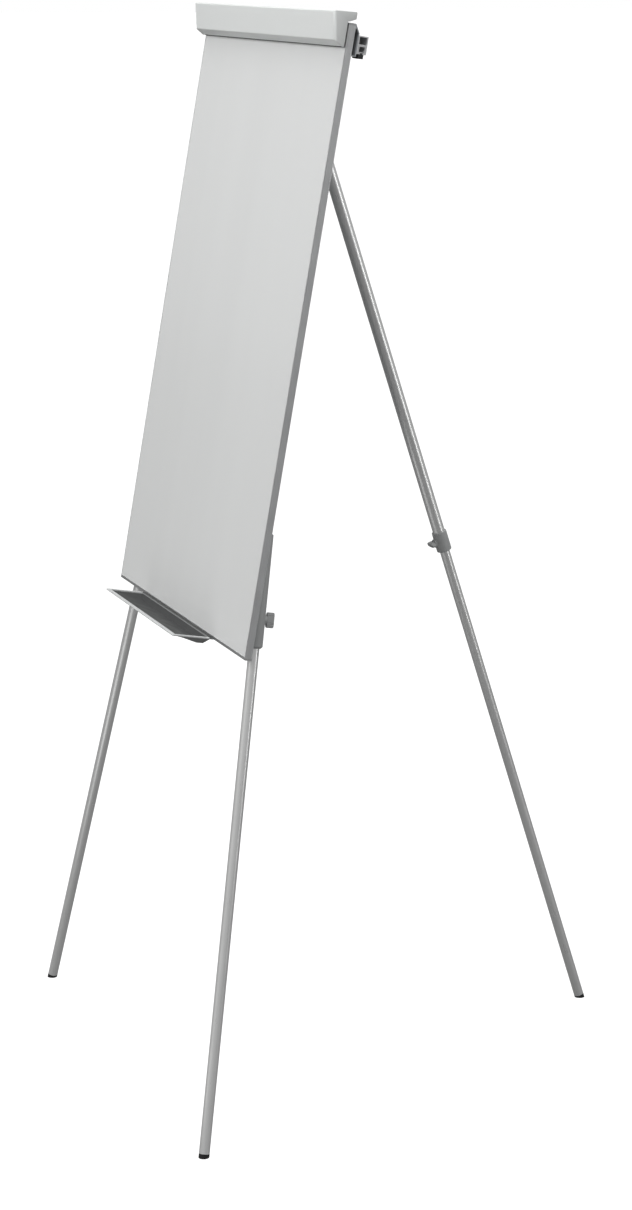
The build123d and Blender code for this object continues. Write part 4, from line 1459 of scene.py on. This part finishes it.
@dataclass
class Workshop:
    """Holds the finishes and builds the whole easel."""

    axes: BoardAxes
    tube_colour: Colour = (0.86, 0.865, 0.86)
    rim_drop: float = 0.002
    front_wing_reach: float = 0.0158
    front_wing_height: float = 0.0142
    rear_wing_reach: float = 0.0153
    rear_wing_height: float = 0.0085

    def build(self) -> None:
        """Build every sub-assembly in order."""
        axes = self.axes
        plated = {"line_size": 0.0009, "line_stretch": 0.3}
        steel = DrawnMetal("plated_steel", (0.62, 0.63, 0.64), 0.3, axes.across, **plated)
        rail_metal = DrawnMetal("rail_aluminium", (0.9, 0.91, 0.92), 0.36, axes.across, metallic=0.6)
        grey_plastic = MouldedPlastic("grey_plastic", (0.41, 0.42, 0.42), 0.42)
        dark_plastic = MouldedPlastic("dark_plastic", (0.03, 0.032, 0.034), 0.45)
        carrier = PowderCoat("carrier_coat", (0.42, 0.44, 0.46), 0.4)
        self.board().build()
        self.clamp(steel, rail_metal, dark_plastic).build()
        DisplayRail(axes, carrier, rail_metal, steel, dark_plastic).build()
        Head(axes, grey_plastic, steel, dark_plastic).build()
        rubber = Rubber("foot_rubber", (0.012, 0.012, 0.012), 0.75)
        for side in Side:
            tube = self.tube(side.value, side.letter)
            wing = WingScrew(
                side.letter,
                f"wing_screw_{side.value}",
                grey_plastic,
                self.front_wing_reach,
                tube.direction,
                self.front_wing_height,
            )
            Leg(side.value, tube, grey_plastic, dark_plastic, rubber, wing).build()
        tube = self.tube("rear", "b")
        wing = WingScrew(
            "b", "wing_screw_rear", grey_plastic, self.rear_wing_reach, axes.across, self.rear_wing_height
        )
        Leg("rear", tube, grey_plastic, dark_plastic, rubber, wing).build()
        brass = DrawnMetal("insert_brass", (0.6, 0.42, 0.16), 0.3, axes.out)
        brass.dress(frame["nodes"]["sleeve_inserts"], frame["nodes"]["collar_insert"])
        # the rim's painted highlight starts this far below the tray's top
        rim_foot = reach("tray", axes.up)[1] - self.rim_drop
        colour = (0.25, 0.255, 0.255)
        tray = TrayPlastic("tray_plastic", colour, 0.6, sheen=0.2, board=axes, rim_foot=rim_foot)
        Tray(axes, tray, steel).build()

    def board(self) -> WhiteBoard:
        """The board in its finishes.

        Returns:
            The board, ready to build.
        """
        up, across = self.axes.up, self.axes.across
        sheet = {"line_size": 0.0012, "streak": 0.03, "smudge_size": 0.4}
        return WhiteBoard(
            self.axes,
            Enamel("white_enamel", (0.77, 0.78, 0.775), 0.3, self.axes),
            FibreBoard("fibre_core", (0.3, 0.22, 0.13), 0.9),
            DrawnMetal("backing_steel", (0.6, 0.61, 0.62), 0.45, up, **sheet),
            # the side trims are the same aluminium as the end trims, given a lighter colour as painted light on
            # the side faces
            DrawnMetal("side_trim_aluminium_lit", (0.78, 0.79, 0.795), 0.42, up, streak=0.06),
            DrawnMetal("end_trim_aluminium", (0.66, 0.67, 0.675), 0.4, across, streak=0.06),
        )

    def clamp(self, steel: Finish, rail_metal: Finish, dark_plastic: Finish) -> ClampBar:
        """The clamp bar in its finishes.

        Args:
            steel: the finish of screws, lugs and pins.
            rail_metal: the peg rail's finish.
            dark_plastic: the pegs' finish.

        Returns:
            The clamp bar, ready to build.
        """
        fine = {"grain_depth": 0.00002, "mottle": 0.012}
        plastic = MouldedPlastic("clamp_plastic", (0.81, 0.83, 0.82), 0.34, **fine)
        rubber = Rubber("grip_rubber", (0.09, 0.09, 0.09), 0.7)
        return ClampBar(self.axes, plastic, rubber, steel, rail_metal, dark_plastic)

    def tube(self, place: str, letter: str) -> DrawnMetal:
        """The finish of one leg's tubes, drawn along that leg."""
        direction = Vector(joint(f"leg_{letter}_slide")["axis"])
        return DrawnMetal(f"tube_steel_{place}", self.tube_colour, 0.3, direction, metallic=0.72)


@dataclass(frozen=True)
class SoftBox:
    """A large soft light that points at a place on the easel."""

    name: str
    place: tuple[float, float, float]
    target: tuple[float, float, float]
    width: float
    height: float
    power: float

    def build(self) -> None:
        """Put the light into the scene."""
        data = bpy.data.lights.new(self.name, "AREA")
        data.shape = "RECTANGLE"
        data.size = self.width
        data.size_y = self.height
        data.energy = self.power
        lamp = bpy.data.objects.new(self.name, data)
        lamp.location = self.place
        lamp.rotation_euler = (Vector(self.target) - lamp.location).to_track_quat("-Z", "Y").to_euler()
        bpy.context.scene.collection.objects.link(lamp)
        log.info("light %s: %.0f W", self.name, self.power)


@dataclass(frozen=True)
class Studio:
    """The pale floor, the even surroundings, the soft lights and the camera."""

    floor_half: float = 80.0
    floor_colour: Colour = (0.2, 0.2, 0.2)
    backdrop_glow: float = 1.0
    room_low: float = 0.38
    room_high: float = 0.62
    view_transform: str = "Standard"
    camera_place: tuple[float, float, float] = (4.7152, -1.8651, 1.9495)
    azimuth: float = radians(69.285)
    elevation: float = radians(12.775)
    focal_pixels: float = 2907.8
    photo_height: float = 1210.0
    sensor: float = 36.0
    lights: tuple[SoftBox, ...] = (
        SoftBox("key_light", (0.5, -3.9, 3.9), (0.0, -0.2, 1.1), 2.2, 2.6, 104.0),
        SoftBox("top_light", (0.4, -0.6, 4.8), (0.0, -0.1, 1.0), 3.0, 2.4, 50.0),
        SoftBox("side_light", (3.3, 3.6, 1.9), (0.0, 0.3, 0.9), 1.0, 3.4, 30.0),
        SoftBox("floor_card", (0.6, -2.6, 0.02), (0.6, -2.6, 1.0), 1.2, 3.0, 7.0),
    )

    def build(self) -> None:
        """Set up the studio."""
        self.floor()
        self.world()
        for lamp in self.lights:
            lamp.build()
        self.camera()
        bpy.context.scene.view_settings.view_transform = self.view_transform

    def floor(self) -> None:
        """A plain pale floor."""
        half = self.floor_half
        mesh = bpy.data.meshes.new("floor")
        corners = [(-half, -half, 0.0), (half, -half, 0.0), (half, half, 0.0), (-half, half, 0.0)]
        mesh.from_pydata(corners, [], [(0, 1, 2, 3)])
        item = link("floor", mesh)
        shade = Shade("pale_floor")
        shade.shader.inputs["Base Color"].default_value = (*self.floor_colour, 1.0)
        shade.shader.inputs["Roughness"].default_value = 0.9
        shade.shader.inputs["Emission Color"].default_value = (1.0, 1.0, 1.0, 1.0)
        seen = shade.add("ShaderNodeLightPath").outputs["Is Camera Ray"]
        shade.link(seen, shade.shader.inputs["Emission Strength"])
        mesh.materials.append(shade.material)

    def world(self) -> None:
        """A white backdrop for the camera, and a dimmer room for the light that reaches the easel."""
        world = bpy.data.worlds.new("studio")
        world.use_nodes = True
        nodes, links = world.node_tree.nodes, world.node_tree.links
        room = nodes["Background"]
        height = nodes.new("ShaderNodeSeparateXYZ")
        links.new(nodes.new("ShaderNodeTexCoord").outputs["Generated"], height.inputs[0])
        brightness = nodes.new("ShaderNodeMapRange")
        brightness.inputs["To Min"].default_value = self.room_low
        brightness.inputs["To Max"].default_value = self.room_high
        links.new(height.outputs["Z"], brightness.inputs["Value"])
        room.inputs["Color"].default_value = (1.0, 1.0, 1.0, 1.0)
        links.new(brightness.outputs["Result"], room.inputs["Strength"])
        backdrop = nodes.new("ShaderNodeBackground")
        backdrop.inputs["Color"].default_value = (1.0, 1.0, 1.0, 1.0)
        backdrop.inputs["Strength"].default_value = self.backdrop_glow
        choice = nodes.new("ShaderNodeMixShader")
        links.new(nodes.new("ShaderNodeLightPath").outputs["Is Camera Ray"], choice.inputs[0])
        links.new(room.outputs[0], choice.inputs[1])
        links.new(backdrop.outputs[0], choice.inputs[2])
        links.new(choice.outputs[0], nodes["World Output"].inputs["Surface"])
        bpy.context.scene.world = world

    def camera(self) -> None:
        """A camera at the photograph's place, with its angle of view."""
        a, e = self.azimuth, self.elevation
        back = Vector((sin(a) * cos(e), -cos(a) * cos(e), sin(e)))
        right = Vector((cos(a), sin(a), 0.0))
        up = back.cross(right)
        turn = Matrix((right, up, back)).transposed().to_4x4()
        data = bpy.data.cameras.new("photo_camera")
        data.sensor_width = self.sensor
        data.lens = self.sensor * self.focal_pixels / self.photo_height
        data.clip_end = self.floor_half * 4
        item = bpy.data.objects.new("photo_camera", data)
        item.matrix_world = Matrix.Translation(self.camera_place) @ turn
        bpy.context.scene.collection.objects.link(item)
        bpy.context.scene.camera = item


def main() -> None:
    """Build the easel, then its studio."""
    Workshop(BoardAxes.from_frame()).build()
    Studio().build()


if __name__ == "__main__":
    main()
